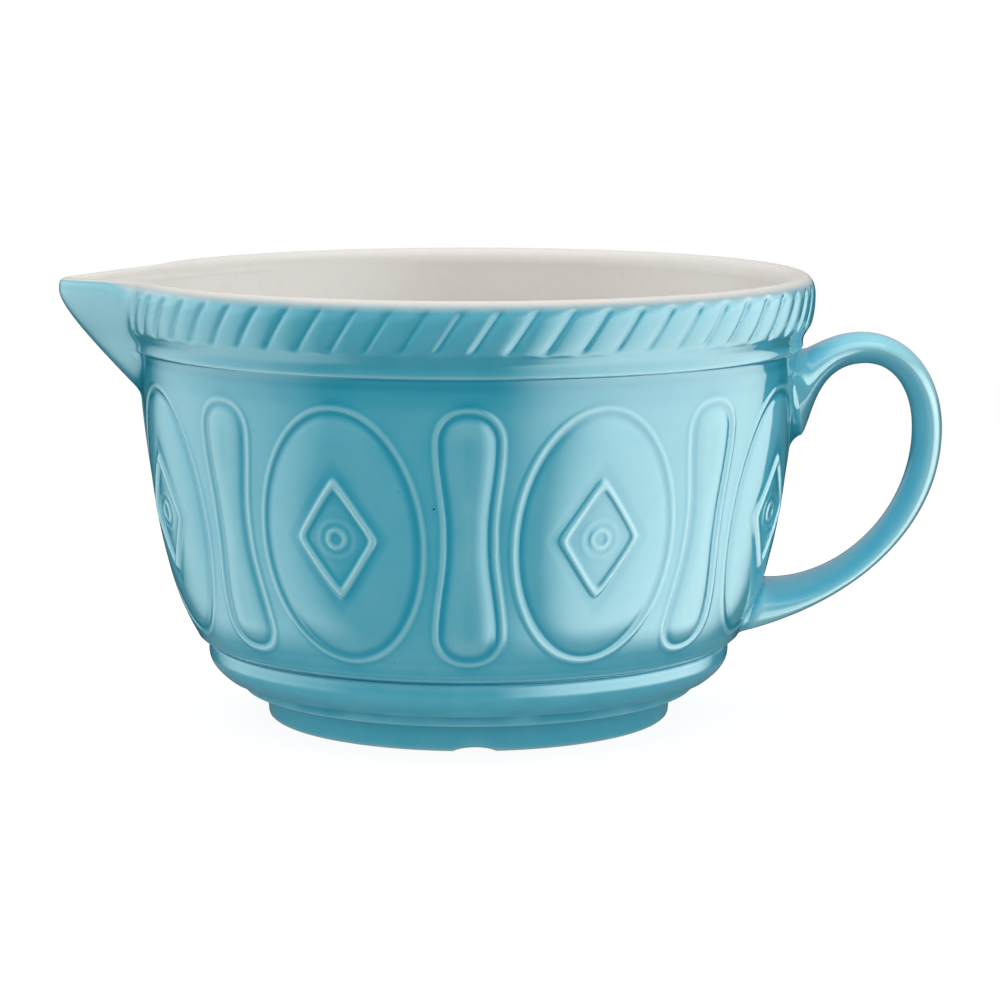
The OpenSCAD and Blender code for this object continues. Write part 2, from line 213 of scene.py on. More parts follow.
@dataclass
class Beak:
    """The spout's beak, as polar radii round the bowl's axis. Azimuth 180 degrees is its middle plane."""

    root_r: float = 100.0
    reach: float = 23.9
    low_z: float = 97.0
    tip_z: float = 131.0
    dip: float = 1.8
    nose: float = 6.0
    low_nose: float = 15.0
    nose_rise: float = 22.0
    half_angle: float = 48.0
    half_width: float = 41.84
    lip_r: float = 100.9
    wall: float = 4.8
    channel_nose_share: float = 0.6
    channel_lift_share: float = 0.42
    keel_arms: tuple[Pair, ...] = ((-0.09, 0), (0.36, 0.33), (0.97, 0.8), (1, 1))
    keel_steps: int = 120
    run_on: float = 1.6
    tuck: float = 150.0
    least_cosine: float = 0.6

    def radius(self, azimuth: Array, z: Array, inset: float = 0.0) -> Array:
        """How far out the beak's face lies along a ray from the axis.

        Args:
            azimuth: The ray's azimuth, in radians.
            z: The height.
            inset: How far the face is moved into the clay, for the channel.

        Returns:
            The radius, far below the wall's where there is no beak.
        """
        size = (self.reach, self.tip_z - self.low_z)
        keel = bezier(placed(self.keel_arms, (self.root_r, self.low_z), size), self.keel_steps)
        lift = self.channel_lift_share * inset
        # Under its lowest point the keel carries on down at its own slope, into the wall
        slope = (keel[1, 0] - keel[0, 0]) / (keel[1, 1] - keel[0, 1])
        tip = np.interp(z, keel[:, 1] + lift, keel[:, 0] - inset)
        tip = tip + np.minimum(0, z - (self.low_z + lift)) * slope * self.run_on
        low = 1 - smooth_step(self.low_z, self.low_z + self.nose_rise, z)
        nose = self.nose + (self.low_nose - self.nose) * low
        nose = nose * (self.channel_nose_share if inset else 1)
        tau = math.tan(math.radians(self.half_angle))
        c, s = -np.cos(azimuth), np.sin(azimuth)
        a = tip + nose / tau
        # The ray meets the beak's hyperbola where k2 r^2 + k1 r + k0 = 0
        k2 = s * s - tau * tau * c * c
        k1 = 2 * tau * tau * a * c
        k0 = nose * nose - tau * tau * a * a
        root = np.sqrt(np.maximum(k1 * k1 - 4 * k2 * k0, 0))
        r = (-k1 + root) / (2 * np.where(np.abs(k2) < TINY, -TINY, k2))
        # Past the place where its side lies nearest the axis, the beak is drawn in out of the way
        r = r - self.tuck * np.maximum(0, np.arctan2(np.abs(s), c) - math.atan(1 / tau)) ** 2
        return np.where((c > self.least_cosine) & (r > 0), r, 0.0)

    def fall(self, azimuth: Array, r: Array, z: Array) -> Array:
        """How far the crest has fallen at a place.

        Args:
            azimuth: The azimuth, in radians.
            r: The radius.
            z: The height.

        Returns:
            The fall, 0 away from the beak and under it.
        """
        root_x = math.sqrt(self.lip_r**2 - self.half_width**2)
        out = (-np.cos(azimuth) * r - root_x) / (self.root_r + self.reach - root_x)
        up = (z - self.low_z) / (self.tip_z - self.low_z)
        return self.dip * np.clip(out, 0, 1) * np.clip(up, 0, 1)


@dataclass
class WallRelief:
    """The moulded relief of the wall: eight ovals with a lozenge and rings, and eight waisted columns."""

    count: int = 8
    z: float = 67.2
    half_h: float = 37.75
    oval_half_w: float = 25.2
    end_r: float = 10.2
    end_power: float = 2.2
    waist_half_w: float = 7.9
    waist_share: float = 0.08
    bead_w: float = 1.3
    bead_h: float = 0.28
    bead_spread: float = 0.95
    gap_w: float = 2.6
    moat_d: float = 0.12
    moat_spread: float = 0.8
    oval_rise_w: float = 13.0
    oval_h: float = 1.25
    column_rise_w: float = 6.0
    column_h: float = 0.8
    sunk: float = 0.45
    lozenge_half: Pair = (11.2, 16.8)
    lozenge_corner: float = 1.1
    corner_share: float = 0.6
    ridge_w: float = 1.45
    ridge_h: float = 0.6
    ridge_moats: tuple[Triple, ...] = ((0.1, 1.4, 2.4), (0.07, -2.6, 1.9))
    ridge_reach: Pair = (-2.1, 0.4)
    rings: tuple[Pair, ...] = ((2.5, 0.3), (5.2, 0.1))
    ring_half_w: float = 1.15
    boss_r: float = 3.6

    def outlines(self, azimuth: Array, r: Array, z: Array) -> dict[str, Array]:
        """Distances from the motifs' outlines, negative inside, in millimetres.

        Args:
            azimuth: Azimuths, in radians.
            r: The wall's radius there.
            z: Heights.

        Returns:
            The distance from each kind of outline by name, and from the middle of the rings.
        """
        step = 2 * math.pi / self.count
        oval_turn, column_turn = (
            (azimuth + math.pi / 2 + shift) % step - step / 2 for shift in (step, step / 2))
        x, v = r * np.sin(oval_turn), z - self.z
        k = np.hypot(x / self.oval_half_w, v / self.half_h) + TINY
        slope = np.hypot(x / self.oval_half_w**2, v / self.half_h**2) + TINY
        half_w, half_h = self.lozenge_half
        soft = self.lozenge_corner
        across, along = (
            (np.hypot(d, soft) - soft * self.corner_share) / half for d, half in ((x, half_w), (v, half_h)))
        xc, rise, drop = np.abs(r * np.sin(column_turn)), np.abs(v), self.half_h - self.end_r
        flare = (self.end_r - self.waist_half_w) * smooth_step(self.waist_share, 1.0, rise / drop)
        p = self.end_power
        end = (xc**p + np.maximum(rise - drop, 0) ** p) ** (1 / p) - self.end_r
        return {
            "oval": k * (k - 1) / slope,
            "lozenge": (across + along - 1) * (half_w * half_h / math.hypot(half_w, half_h)),
            "ring": np.hypot(x, v),
            "column": np.where(rise > drop, end, xc - (self.waist_half_w + flare)),
        }

    def bead(self, d: Array) -> Array:
        """The height over the thin bead that frames a motif, and over the shallow moat inside it."""
        moat = self.moat_d * soft_bump(d + self.bead_w + self.gap_w / 2, self.gap_w * self.moat_spread)
        return self.bead_h * soft_bump(d + self.bead_w / 2, self.bead_w * self.bead_spread) - moat

    def panel(self, d: Array, rise_w: float) -> Array:
        """The share of its full height that a panel has, a dome that rises over a width from its moat."""
        start = self.bead_w + self.gap_w / 2
        return 1 - (1 - np.clip((-d - start) / rise_w, 0, 1)) ** 2

    def height(self, azimuth: Array, r: Array, z: Array) -> Array:
        """The relief's height over the plain wall.

        Args:
            azimuth: Azimuths, in radians.
            r: The wall's radius there.
            z: Heights.

        Returns:
            The height, in millimetres.
        """
        d = self.outlines(azimuth, r, z)
        high = self.bead(d["oval"]) + self.bead(d["column"])
        high += self.oval_h * self.panel(d["oval"], self.oval_rise_w)
        high += self.column_h * self.panel(d["column"], self.column_rise_w)
        high += self.ridge_h * soft_bump(d["lozenge"] + self.ridge_w / 2, self.ridge_w * self.bead_spread)
        # The clay is drawn in a little along both sides of the lozenge's ridge, where glaze pools
        for moat_d, middle, half_width in self.ridge_moats:
            high -= moat_d * soft_bump(d["lozenge"] - middle, half_width)
        for ring_r, ring_h in self.rings:
            high += ring_h * soft_bump(d["ring"] - ring_r, self.ring_half_w)
        return high

    def part(self, azimuth: Array, r: Array, z: Array) -> Array:
        """Which piece each place of the wall belongs to.

        Args:
            azimuth: Azimuths, in radians.
            r: The wall's radius there.
            z: Heights.

        Returns:
            An array of Part.
        """
        d = self.outlines(azimuth, r, z)
        out = np.full(z.shape, Part.BOWL_BODY, object)
        edge = self.bead_w + self.gap_w / 2
        out[d["oval"] < 0] = Part.OVAL_BEADS
        out[d["oval"] < -edge] = Part.OVAL_PANELS
        out[d["column"] < 0] = Part.WAISTED_BEADS
        out[d["column"] < -edge] = Part.WAISTED_PANELS
        out[(d["lozenge"] > self.ridge_reach[0]) & (d["lozenge"] < self.ridge_reach[1])] = Part.DIAMOND_FRAMES
        out[d["ring"] < self.boss_r] = Part.RING_BOSSES
        return out


@dataclass
class RimStrands:
    """The slanted strands of the rim band, rounded like a laid rope, with narrow grooves between them."""

    count: int = 64
    band_r: float = 104.6
    lean_per_mm: float = 0.3625
    lean_cosine: float = 0.84
    first: float = 2.8
    level: float = 126.0
    groove_d: float = 0.29
    groove_sides: Pair = (2.2, 1.4)
    crown: float = 0.48
    rise: Pair = (119.1, 121.3)
    fall: Pair = (130.8, 133.0)
    cove_d: float = 0.25
    cove_rise: Pair = (114.2, 117.0)
    cove_fall: Pair = (118.7, 120.0)

    def height(self, azimuth: Array, z: Array) -> Array:
        """The strands' height over the plain band.

        Args:
            azimuth: Azimuths, in radians.
            z: Heights.

        Returns:
            The height, at most 0, in millimetres.
        """
        step = 360 / self.count
        turn = np.degrees(azimuth) + 90 - self.first - (z - self.level) * self.lean_per_mm
        place = (turn / step + 0.5) % 1 - 0.5
        distance = place * math.radians(step) * self.band_r * self.lean_cosine
        groove = -self.groove_d * soft_bump(distance, np.where(distance < 0, *self.groove_sides))
        crown = -self.crown * (2 * np.abs(place) - 1) ** 2
        cove = -self.cove_d * smooth_band(self.cove_rise, self.cove_fall, z)
        return (groove + crown) * smooth_band(self.rise, self.fall, z) + cove


@dataclass
class LipAndBand:
    """The rolled lip and the rim band's cove, from the inside wall round to the wall outside."""

    inside_r: float = 96.3
    band_r: float = 104.6
    crest_z: float = 134.8
    low_z: float = 129.0
    lip_h: float = 5.8
    spout_lip_h: float = 3.9
    crest_share: float = 0.554
    side_rows: int = 15
    spout_squareness: float = 0.45
    cove: tuple[Pair, ...] = ((104.6, 129), (104.6, 117.4), (101, 118.2), (101, 114.2))
    cove_steps: int = 40
    edge: tuple[Triple, ...] = ((101.05, 113.3, 0.45), (99.95, 112.85, 0.5))
    liner_angle: float = 48.0
    cream_angles: Pair = (20, 67)
    spout_cream_angles: Pair = (44, 64)

    def cream(self, angle: Array, in_beak: Array) -> Array:
        """How far cream covers the lip's outer side, by the angle up from level and the beak's share."""
        angles = zip(self.cream_angles, self.spout_cream_angles)
        return smooth_step(*(a + (b - a) * in_beak[None, :] for a, b in angles), angle[:, None])


@dataclass
class Base:
    """The base moulding, the step under it, the foot ring with its drain notches, and the underside."""

    wall_foot: Triple = (80.9, 24.5, 1.2)
    wall_side: Triple = (82.2, 24.9, 0.0)
    crease: Triple = (77.7, 23.3, 0.75)
    rim: Triple = (79.0, 23.3, 0.8)
    moulding_r: float = 79.4
    moulding_z: float = 20.5
    swell: float = 2.1
    belly_rows: int = 24
    belly_rounding: float = 0.2
    low: Triple = (74.3, 13.0, 0.5)
    step: tuple[Triple, ...] = ((69.4, 12.9, 0.6), (69.0, 9.0, 0.6))
    foot_h: float = 9.0
    foot_top: Pair = (62.0, 53.9)
    foot_face: Pair = (61.2, 54.7)
    foot_roundings: Triple = (0.7, 1.1, 2.2)
    step_end_z: float = 12.95
    step_corner: Pair = (73.7, 13.3)
    foot_end_z: float = 8.7
    recess_corner: Pair = (55.1, 6.6)
    notch_w: float = 12.5
    notch_d: float = 1.2
    notch_rise: float = 3.2
    notch_power: float = 0.8
    notch_turns: tuple[float, ...] = (-88.3, 30.0, 150.0)
    bare_edge: Pair = (0.25, 0.55)
    notch_glaze_share: float = 0.03
    sag_h: float = 0.12
    sag_z: float = 12.2
    sag_reach: float = 4.6
    sag_waves: tuple[int, ...] = (4, 7, 11, 17, 26, 35)
    sag_power: float = 0.35
    sag_lean: float = 1.2
    sag_seed: int = 20

    def sag(self, azimuth: Array, z: Array) -> Array:
        """How far the glaze stands off over the step, where it ran down in soft, uneven folds before it set.

        Args:
            azimuth: Azimuths, in radians.
            z: Heights.

        Returns:
            The distance, in millimetres.
        """
        draw = np.random.default_rng(self.sag_seed)
        out = np.zeros_like(azimuth)
        for wave in self.sag_waves:
            phase, lean = draw.uniform(0, 2 * math.pi), draw.uniform(-self.sag_lean, self.sag_lean)
            out += np.sin(wave * azimuth + phase + lean * (z - self.sag_z)) / wave**self.sag_power
        return self.sag_h * out * soft_bump(z - self.sag_z, self.sag_reach)

    def belly(self) -> list[Triple]:
        """The moulding's corners (r, z, rounding), from its rim down to just over its lower edge.

        Returns:
            The corners.
        """
        low_r, low_z, _ = self.low
        taper = (self.moulding_r - low_r) / (self.moulding_z - low_z) ** self.swell
        fall = (self.moulding_r - self.rim[0]) / (self.rim[1] - self.moulding_z) ** 2
        out = [self.rim]
        # The first rows make room for the rim's rounding
        for z in np.linspace(self.rim[1], low_z, self.belly_rows)[3:-1]:
            under = self.moulding_z - z
            drawn_in = taper * under**self.swell if under > 0 else fall * under**2
            out.append((self.moulding_r - drawn_in, z, self.belly_rounding))
        return out

    def corners(self) -> list[Triple]:
        """The profile's corners (r, z, rounding), from the wall's foot down and in to the underside.

        Returns:
            The corners.
        """
        top, face, recess = self.foot_roundings
        foot = [(self.foot_top[0], self.foot_h, top), *((r, 0.0, face) for r in self.foot_face),
                (self.foot_top[1], self.foot_h, recess)]
        return [self.wall_foot, self.crease, *self.belly(), self.low, *self.step, *foot]

    def notch(self, azimuth: Array) -> Array:
        """How far up the drain notches lift the foot's face.

        Args:
            azimuth: Azimuths, in radians.

        Returns:
            The lift, in millimetres.
        """
        lift = np.zeros_like(azimuth)
        for middle in self.notch_turns:
            off = np.radians(np.abs((np.degrees(azimuth) - middle + 180) % 360 - 180)) * self.foot_face[0]
            arch = np.clip(1 - (off / (self.notch_w / 2)) ** 2, 0, 1) ** self.notch_power
            lift = np.maximum(lift, self.notch_d * arch)
        return lift


@dataclass
class Rim:
    """Where the lip runs, column by column, with the beak and its channel."""

    face: Array
    hollow: Array
    lip_h: Array
    in_beak: Array


@dataclass
class VesselGrid:
    """The vessel's surface while it is shaped, by row and column, and what each row was in the profile."""

    rim: Rim
    azimuth: Array
    r: Array
    z: Array
    row_z: Array
    angle: Array
    section: Array
    in_spout: Array
    parts: Array
    bare: Array

    def rows(self, *sections: Section) -> Array:
        """The numbers of the rows in these sections."""
        return np.where(np.isin(self.section, sections))[0]


@dataclass
class Vessel:
    """The whole pot without its handle, as one continuous surface of rows round the axis."""

    columns: int = 1152
    fine_step: float = 0.55
    inside_step: float = 2.2
    axis_gap: float = 0.6
    floor_z: float = 16.5
    inside_curves: tuple[tuple[tuple[Pair, ...], int], ...] = (
        (((47.1, 16.5), (60.8, 16.5), (67.6, 21.2), (75.98, 34.6)), 30),
        (((75.98, 34.6), (83.46, 48.5), (92.64, 79.9), (94.2, 113)), 40),
        (((94.2, 113), (94.5, 119), (95.6, 124), (96.3, 129)), 12))
    wall: WallCurve = field(default_factory=WallCurve)
    beak: Beak = field(default_factory=Beak)
    relief: WallRelief = field(default_factory=WallRelief)
    strands: RimStrands = field(default_factory=RimStrands)
    lip: LipAndBand = field(default_factory=LipAndBand)
    base: Base = field(default_factory=Base)
    # Heights over which the relief sets in and dies out, on the wall and under what is luted to it
    relief_ends: tuple[Pair, Pair] = ((24.5, 27.0), (110.5, 112.8))
    seat_ends: tuple[Pair, Pair] = ((24.0, 27.0), (111.0, 113.0))
    cove_low_z: float = 113.6
    seam_fillet: float = 2.0
    channel_fillet: float = 7.0
    beak_low_z: float = 80.0
    # How far the beak stands off where the lip turns to the spout's, and where the strands run out
    beak_spread: Pair = (0.3, 7.0)
    strands_end: Pair = (0.1, 1.6)
    even_levels: Pair = (127.5, 108.0)
    even_spread: Pair = (-0.5, 2.0)
    spout_spread: Pair = (-1.0, 2.0)
    spout_lip_out: float = 1.0
    stretch_from: Pair = (118.0, 110.0)
    channel_low_z: float = 70.0
    recess_r: float = 50.0
    # One row in this many is kept inside below the channel, on straight spans and in the recess
    inside_skip: int = 2
    plain_skip: int = 3
    recess_skip: int = 6
    straight: float = 0.02
    plain_heights: Triple = (28.8, 105.6, 112.0)
    # Painted highlight lines along the sharp edges at the wall's top and foot: height, half width and how
    # much paler the colour is made there
    painted_highlight_edges: tuple[Triple, ...] = ((113.35, 0.6, 0.3), (24.75, 0.7, 0.16))
    whole_depth: tuple[Pair, Pair] = ((27.0, 36.0), (104.0, 111.0))
    band_depth_shares: tuple[tuple[str, float], ...] = (("fine", 0.35), ("broad", 0.3))
    base_depth_share: float = 0.5
    base_top_z: float = 26.0

    def inside_rows(self) -> Array:
        """Draws the inside, with half the rows below the spout's channel.

        Returns:
            Rows (r, z), from the axis up to the lip.
        """
        curves = [bezier(points, steps) for points, steps in self.inside_curves]
        rows = even_run(np.vstack([[(self.axis_gap, self.floor_z)], *curves]), self.inside_step)
        return rows[(rows[:, 1] > self.channel_low_z) | (np.arange(len(rows)) % self.inside_skip == 0)]

    def outside_rows(self) -> Array:
        """Draws the outside, with fewer rows where it is plain.

        Returns:
            Rows (r, z), from under the lip down to the foot, and in over the underside to the axis.
        """
        wall = self.wall.run()[::-1]
        run = [(*point, 0.0) for point in bezier(self.lip.cove, self.lip.cove_steps)] + [*self.lip.edge]
        # The wall's two topmost points give way to the edge under the band
        run += [(*point, 0.0) for point in wall[2:-1]] + [(*wall[-1], self.wall.low_rounding)]
        run += [*self.base.corners(), (self.axis_gap, self.base.foot_h, 0.0)]
        rows = rounded_run(run, self.fine_step)
        inner = rows[:, 0] < self.recess_r
        rows = np.vstack([rows[~inner], rows[inner][::self.recess_skip], rows[-1:]])
        # A straight span with no relief on it needs few rows
        way = np.diff(rows, axis=0)
        way /= np.linalg.norm(way, axis=1, keepdims=True)
        bend = np.concatenate([[1], np.linalg.norm(np.diff(way, axis=0), axis=1), [1]])
        low, high, top = self.plain_heights
        z = rows[:, 1]
        plain = (bend < self.straight) & ((z < low) | ((z > high) & (z < top)))
        return rows[~plain | (np.arange(len(rows)) % self.plain_skip == 0)]

    def section(self, r: float, z: float) -> Section:
        """Tells which stretch of the outside a place of the profile belongs to.

        Args:
            r: The radius.
            z: The height.

        Returns:
            The section.
        """
        base = self.base
        if r < base.recess_corner[0] and z > base.recess_corner[1]:
            return Section.UNDERSIDE
        if z < base.foot_end_z or (r < base.foot_top[0] and z < base.foot_h):
            return Section.FOOT
        if z < base.step_end_z or (r < base.step_corner[0] and z < base.step_corner[1]):
            return Section.STEP
        if z < base.crease[1]:
            return Section.MOULDING
        return Section.WALL if z < self.wall.band_z else Section.BAND

    def plain_grid(self) -> VesselGrid:
        """Turns the plain profile round the axis, from the inside's middle over the lip to the underside's.

        Returns:
            The grid. Only the lip's rows have angles, and they still lie at radius and height 0.
        """
        rows = [(r, z, math.nan, Section.INSIDE) for r, z in self.inside_rows()[:-1]]
        for section, start, end in ((Section.LIP_IN, 180, 90), (Section.LIP_OUT, 90, 0)):
            rows += [(0, 0, angle, section) for angle in np.linspace(start, end, self.lip.side_rows)[:-1]]
        rows += [(r, z, math.nan, self.section(r, z)) for r, z in self.outside_rows()]
        row_r, row_z, angle, section = (np.array(column) for column in zip(*rows))
        turn = 2 * math.pi * np.arange(self.columns) / self.columns
        shape = (len(rows), self.columns)
        azimuth = np.broadcast_to(turn[None, :], shape)
        r, z = (np.repeat(column[:, None], self.columns, 1) for column in (row_r, row_z))
        parts = np.full(shape, Part.BOWL_BODY, object)
        return VesselGrid(self.rim(turn), azimuth, r, z, row_z, angle, section, np.zeros(shape), parts,
                          np.zeros(shape))

    def wall_relief(self, azimuth: Array, r: Array, z: Array, ends: tuple[Pair, Pair]) -> Array:
        """The relief's height over the plain wall, set into it and faded out at both ends."""
        return (self.relief.height(azimuth, r, z) - self.relief.sunk) * smooth_band(*ends, z)

    def outer_radius(self, azimuth: Array, z: Array) -> Array:
        """The outer face's radius, with the wall's relief but without the strands and the beak.

        Args:
            azimuth: Azimuths, in radians.
            z: Heights, of the moulding, the wall or the band.

        Returns:
            The radius.
        """
        low = np.array([*self.base.belly(), self.base.wall_side, (*self.wall.low, 0.0)])
        plain = np.where(z < self.wall.low[1], radius_at(z, low), self.wall.radius(z))
        cove = bezier(self.lip.cove, self.lip.cove_steps)
        plain = np.where(z > self.cove_low_z, radius_at(z, cove), plain)
        return plain + self.wall_relief(azimuth, plain, z, self.seat_ends)

    def speck(self, turn: float, z: float, size: float) -> tuple[float, float, float, float]:
        """Places an iron speck on the outer face.

        Args:
            turn: Its azimuth, in degrees.
            z: Its height.
            size: Its size.

        Returns:
            Its place (x, y, z) and its size.
        """
        azimuth = math.radians(turn)
        r = float(self.outer_radius(np.array([azimuth]), np.array([z]))[0])
        return r * math.cos(azimuth), r * math.sin(azimuth), z, size

    def rim(self, turn: Array) -> Rim:
        """Works out where the lip runs.

        Args:
            turn: The columns' azimuths, in radians.

        Returns:
            The rim.
        """
        lip, beak = self.lip, self.beak
        level = np.full(self.columns, lip.crest_z - lip.spout_lip_h)
        face = smooth_max(lip.band_r, beak.radius(turn, level), self.seam_fillet)
        hollow = smooth_max(lip.inside_r, beak.radius(turn, level, beak.wall), self.channel_fillet)
        in_beak = smooth_step(*self.beak_spread, face - lip.band_r)
        return Rim(face, hollow, lip.lip_h + (lip.spout_lip_h - lip.lip_h) * in_beak, in_beak)

    def roll_lip(self, grid: VesselGrid) -> None:
        """Rolls the lip between the bowl's two faces.

        Args:
            grid: The grid.
        """
        rim = grid.rim
        crest = rim.hollow + (rim.face - rim.hollow) * self.lip.crest_share
        # On the beak the lip's outer side is squarer, so that its face runs up flat to a tight edge
        for section, reach, squareness in ((Section.LIP_IN, crest - rim.hollow, 0.0),
                                           (Section.LIP_OUT, rim.face - crest, self.lip.spout_squareness)):
            i = grid.rows(section)
            a = np.radians(grid.angle[i])[:, None]
            power = 1 - squareness * rim.in_beak[None, :]
            grid.r[i] = crest + reach * np.sign(np.cos(a)) * np.abs(np.cos(a)) ** power
            grid.z[i] = self.lip.crest_z - rim.lip_h + rim.lip_h * np.abs(np.sin(a)) ** power

    def raise_relief(self, grid: VesselGrid) -> None:
        """Raises the band's strands and the wall's relief, square to the plain profile.

        Args:
            grid: The grid.
        """
        dr, dz = np.gradient(grid.r, axis=0), np.gradient(grid.z, axis=0)
        lift = np.zeros_like(grid.r)
        i = grid.rows(Section.LIP_OUT, Section.BAND)
        clear = 1 - smooth_step(*self.strands_end, grid.rim.face - self.lip.band_r)
        lift[i] = self.strands.height(grid.azimuth[i], grid.z[i]) * clear
        i = grid.rows(Section.WALL)
        place = grid.azimuth[i], grid.r[i], grid.z[i]
        grid.parts[i] = self.relief.part(*place)
        lift[i] = self.wall_relief(*place, self.relief_ends)
        lift /= np.hypot(dr, dz) + TINY
        grid.r -= dz * lift
        grid.z += dr * lift

    def join_beak(self, grid: VesselGrid, i: Array, start_z: float, inset: float, fillet: float) -> Array:
        """Blends the beak, or its channel, into a face of the bowl, and stretches its rows up to the lip.

        Args:
            grid: The grid.
            i: The face's rows.
            start_z: The height from which they are stretched.
            inset: How far the beak's face is moved into the clay.
            fillet: How far from the seam the blend starts.

        Returns:
            How far the beak stood off the face.
        """
        share = np.clip((grid.z[i] - start_z) / (self.lip.low_z - start_z), 0, 1)
        stretch = share * (self.lip.lip_h - grid.rim.lip_h)
        beak = self.beak.radius(grid.azimuth[i], grid.z[i] + stretch, inset)
        stand = beak - grid.r[i]
        grid.r[i] = smooth_max(grid.r[i], beak, fillet)
        grid.z[i] += stretch
        return stand

    def draw_beak(self, grid: VesselGrid) -> Array:
        """Draws the beak out of the band and the wall, and its channel out of the inside.

        Args:
            grid: The grid.

        Returns:
            The cells that are the spout's.
        """
        i = grid.rows(Section.BAND, Section.WALL)
        i = i[grid.row_z[i] > self.beak_low_z]
        # Under the beak the rows of the band's cove and edge are spread out evenly
        stand = self.beak.radius(grid.azimuth[i], grid.z[i]) - grid.r[i]
        rank = np.arange(len(i))[:, None]
        ends = [np.argmin(np.abs(grid.row_z[i] - level)) for level in self.even_levels]
        even = np.interp(rank, ends, grid.row_z[i][ends])
        inside = (rank >= ends[0]) & (rank <= ends[1])
        grid.z[i] += np.where(inside, (even - grid.z[i]) * smooth_step(*self.even_spread, stand), 0)
        stand = self.join_beak(grid, i, self.stretch_from[0], 0.0, self.seam_fillet)
        lip = grid.rows(Section.LIP_OUT)
        grid.in_spout[i], grid.in_spout[lip] = smooth_step(*self.spout_spread, stand), grid.rim.in_beak
        spout = np.zeros(grid.r.shape, bool)
        spout[i], spout[lip] = stand > 0, grid.rim.face - self.lip.band_r > self.spout_lip_out
        i = grid.rows(Section.INSIDE)
        i = i[grid.row_z[i] > self.channel_low_z]
        self.join_beak(grid, i, self.stretch_from[1], self.beak.wall, self.channel_fillet)
        grid.z -= self.beak.fall(grid.azimuth, grid.r, grid.z)
        return spout

    def finish_base(self, grid: VesselGrid) -> None:
        """Runs the glaze down over the step, cuts the drain notches and wipes the foot's face.

        Args:
            grid: The grid.
        """
        i = grid.rows(Section.MOULDING, Section.STEP)
        grid.r[i] += self.base.sag(grid.azimuth[i], grid.z[i])
        i = grid.rows(Section.FOOT)
        lift = self.base.notch(grid.azimuth[i]) * (1 - smooth_step(0, self.base.notch_rise, grid.z[i]))
        wiped = grid.z[i] + lift * self.base.notch_glaze_share
        grid.bare[i] = 1 - smooth_step(*self.base.bare_edge, wiped)
        grid.z[i] += lift

    def glaze(self, grid: VesselGrid, depth: dict[str, Array]) -> dict[str, Array]:
        """Lays the glazes on.

        Args:
            grid: The grid.
            depth: The running glaze's depths, which are changed.

        Returns:
            Glaze values by name.
        """
        cream = np.zeros(grid.r.shape)
        cream[grid.rows(Section.INSIDE, Section.LIP_IN)] = 1
        i = grid.rows(Section.LIP_OUT)
        cream[i] = self.lip.cream(grid.angle[i], grid.rim.in_beak)
        # Over the plain profile's own curves the glaze lies even, so only the wall keeps all its broad depth
        even = 1 - smooth_band(*self.whole_depth, grid.row_z) * (grid.section == Section.WALL)
        off_spout = 1 - grid.in_spout
        depth["broad"] -= even[:, None] * off_spout * depth["broad"].mean(1, keepdims=True)
        # The lip, the strands and the base are glazed more evenly than the wall's relief
        i = grid.rows(Section.LIP_OUT, Section.BAND)
        for key, share in self.band_depth_shares:
            depth[key][i] *= share
        depth["fine"][grid.row_z < self.base_top_z] *= self.base_depth_share
        # Painted highlight: the colour is made paler in a thin line along the sharp edges at the wall's top
        # and foot, for the light that these edges catch
        on_wall = np.isin(grid.section, (Section.WALL, Section.BAND))
        for level, half_width, paler_by in self.painted_highlight_edges:
            edge = soft_bump(grid.row_z - level, half_width) * on_wall
            depth["fine"] -= paler_by * edge[:, None] * off_spout
        return {"cream": cream, "bare": grid.bare, **depth}

    def build(self) -> tuple[Skin, Array]:
        """Makes the pot.

        Returns:
            Its skin, and the Part of each point.
        """
        grid = self.plain_grid()
        self.roll_lip(grid)
        self.raise_relief(grid)
        spout = self.draw_beak(grid)
        self.finish_base(grid)
        for section, part in SECTION_PARTS.items():
            grid.parts[grid.rows(section)] = part
        grid.parts[spout] = Part.POURING_SPOUT
        i = grid.rows(Section.LIP_OUT)
        grid.parts[i[grid.angle[i] > self.lip.liner_angle]] = Part.INSIDE_GLAZE
        points = np.stack([grid.r * np.cos(grid.azimuth), grid.r * np.sin(grid.azimuth), grid.z], -1)
        normals = grid_normals(points)
        return Skin(points, normals, self.glaze(grid, glaze_depth(points, normals))), grid.parts


def grid_normals(points: Array) -> Array:
    """Works out the smooth normals of a grid that closes on itself by column.

    Args:
        points: The grid's points.

    Returns:
        Its normals.
    """
    across = np.roll(points, -1, 1) - np.roll(points, 1, 1)
    normals = np.cross(np.gradient(points, axis=0), across)
    return normals / np.maximum(np.linalg.norm(normals, axis=-1, keepdims=True), TINY)


def blurred(grid: Array, rows: float, columns: Array) -> Array:
    """Blurs a grid of values that closes on itself by column.

    Args:
        grid: The values, rows by columns by anything.
        rows: The blur's width along a column, in cells.
        columns: The blur's width along each row, in cells.

    Returns:
        The blurred grid.
    """
    turns = np.fft.rfftfreq(grid.shape[1])
    keep = np.exp(-2 * (math.pi * turns[None, :] * columns[:, None]) ** 2)[..., None]
    out = np.fft.irfft(np.fft.rfft(grid, axis=1) * keep, n=grid.shape[1], axis=1)
    reach = int(math.ceil(3 * rows))
    weights = np.exp(-0.5 * (np.arange(-reach, reach + 1) / rows) ** 2)
    weights /= weights.sum()
    padded = np.concatenate([np.repeat(out[:1], reach, 0), out, np.repeat(out[-1:], reach, 0)])
    return sum(w * padded[k:k + len(grid)] for k, w in enumerate(weights))


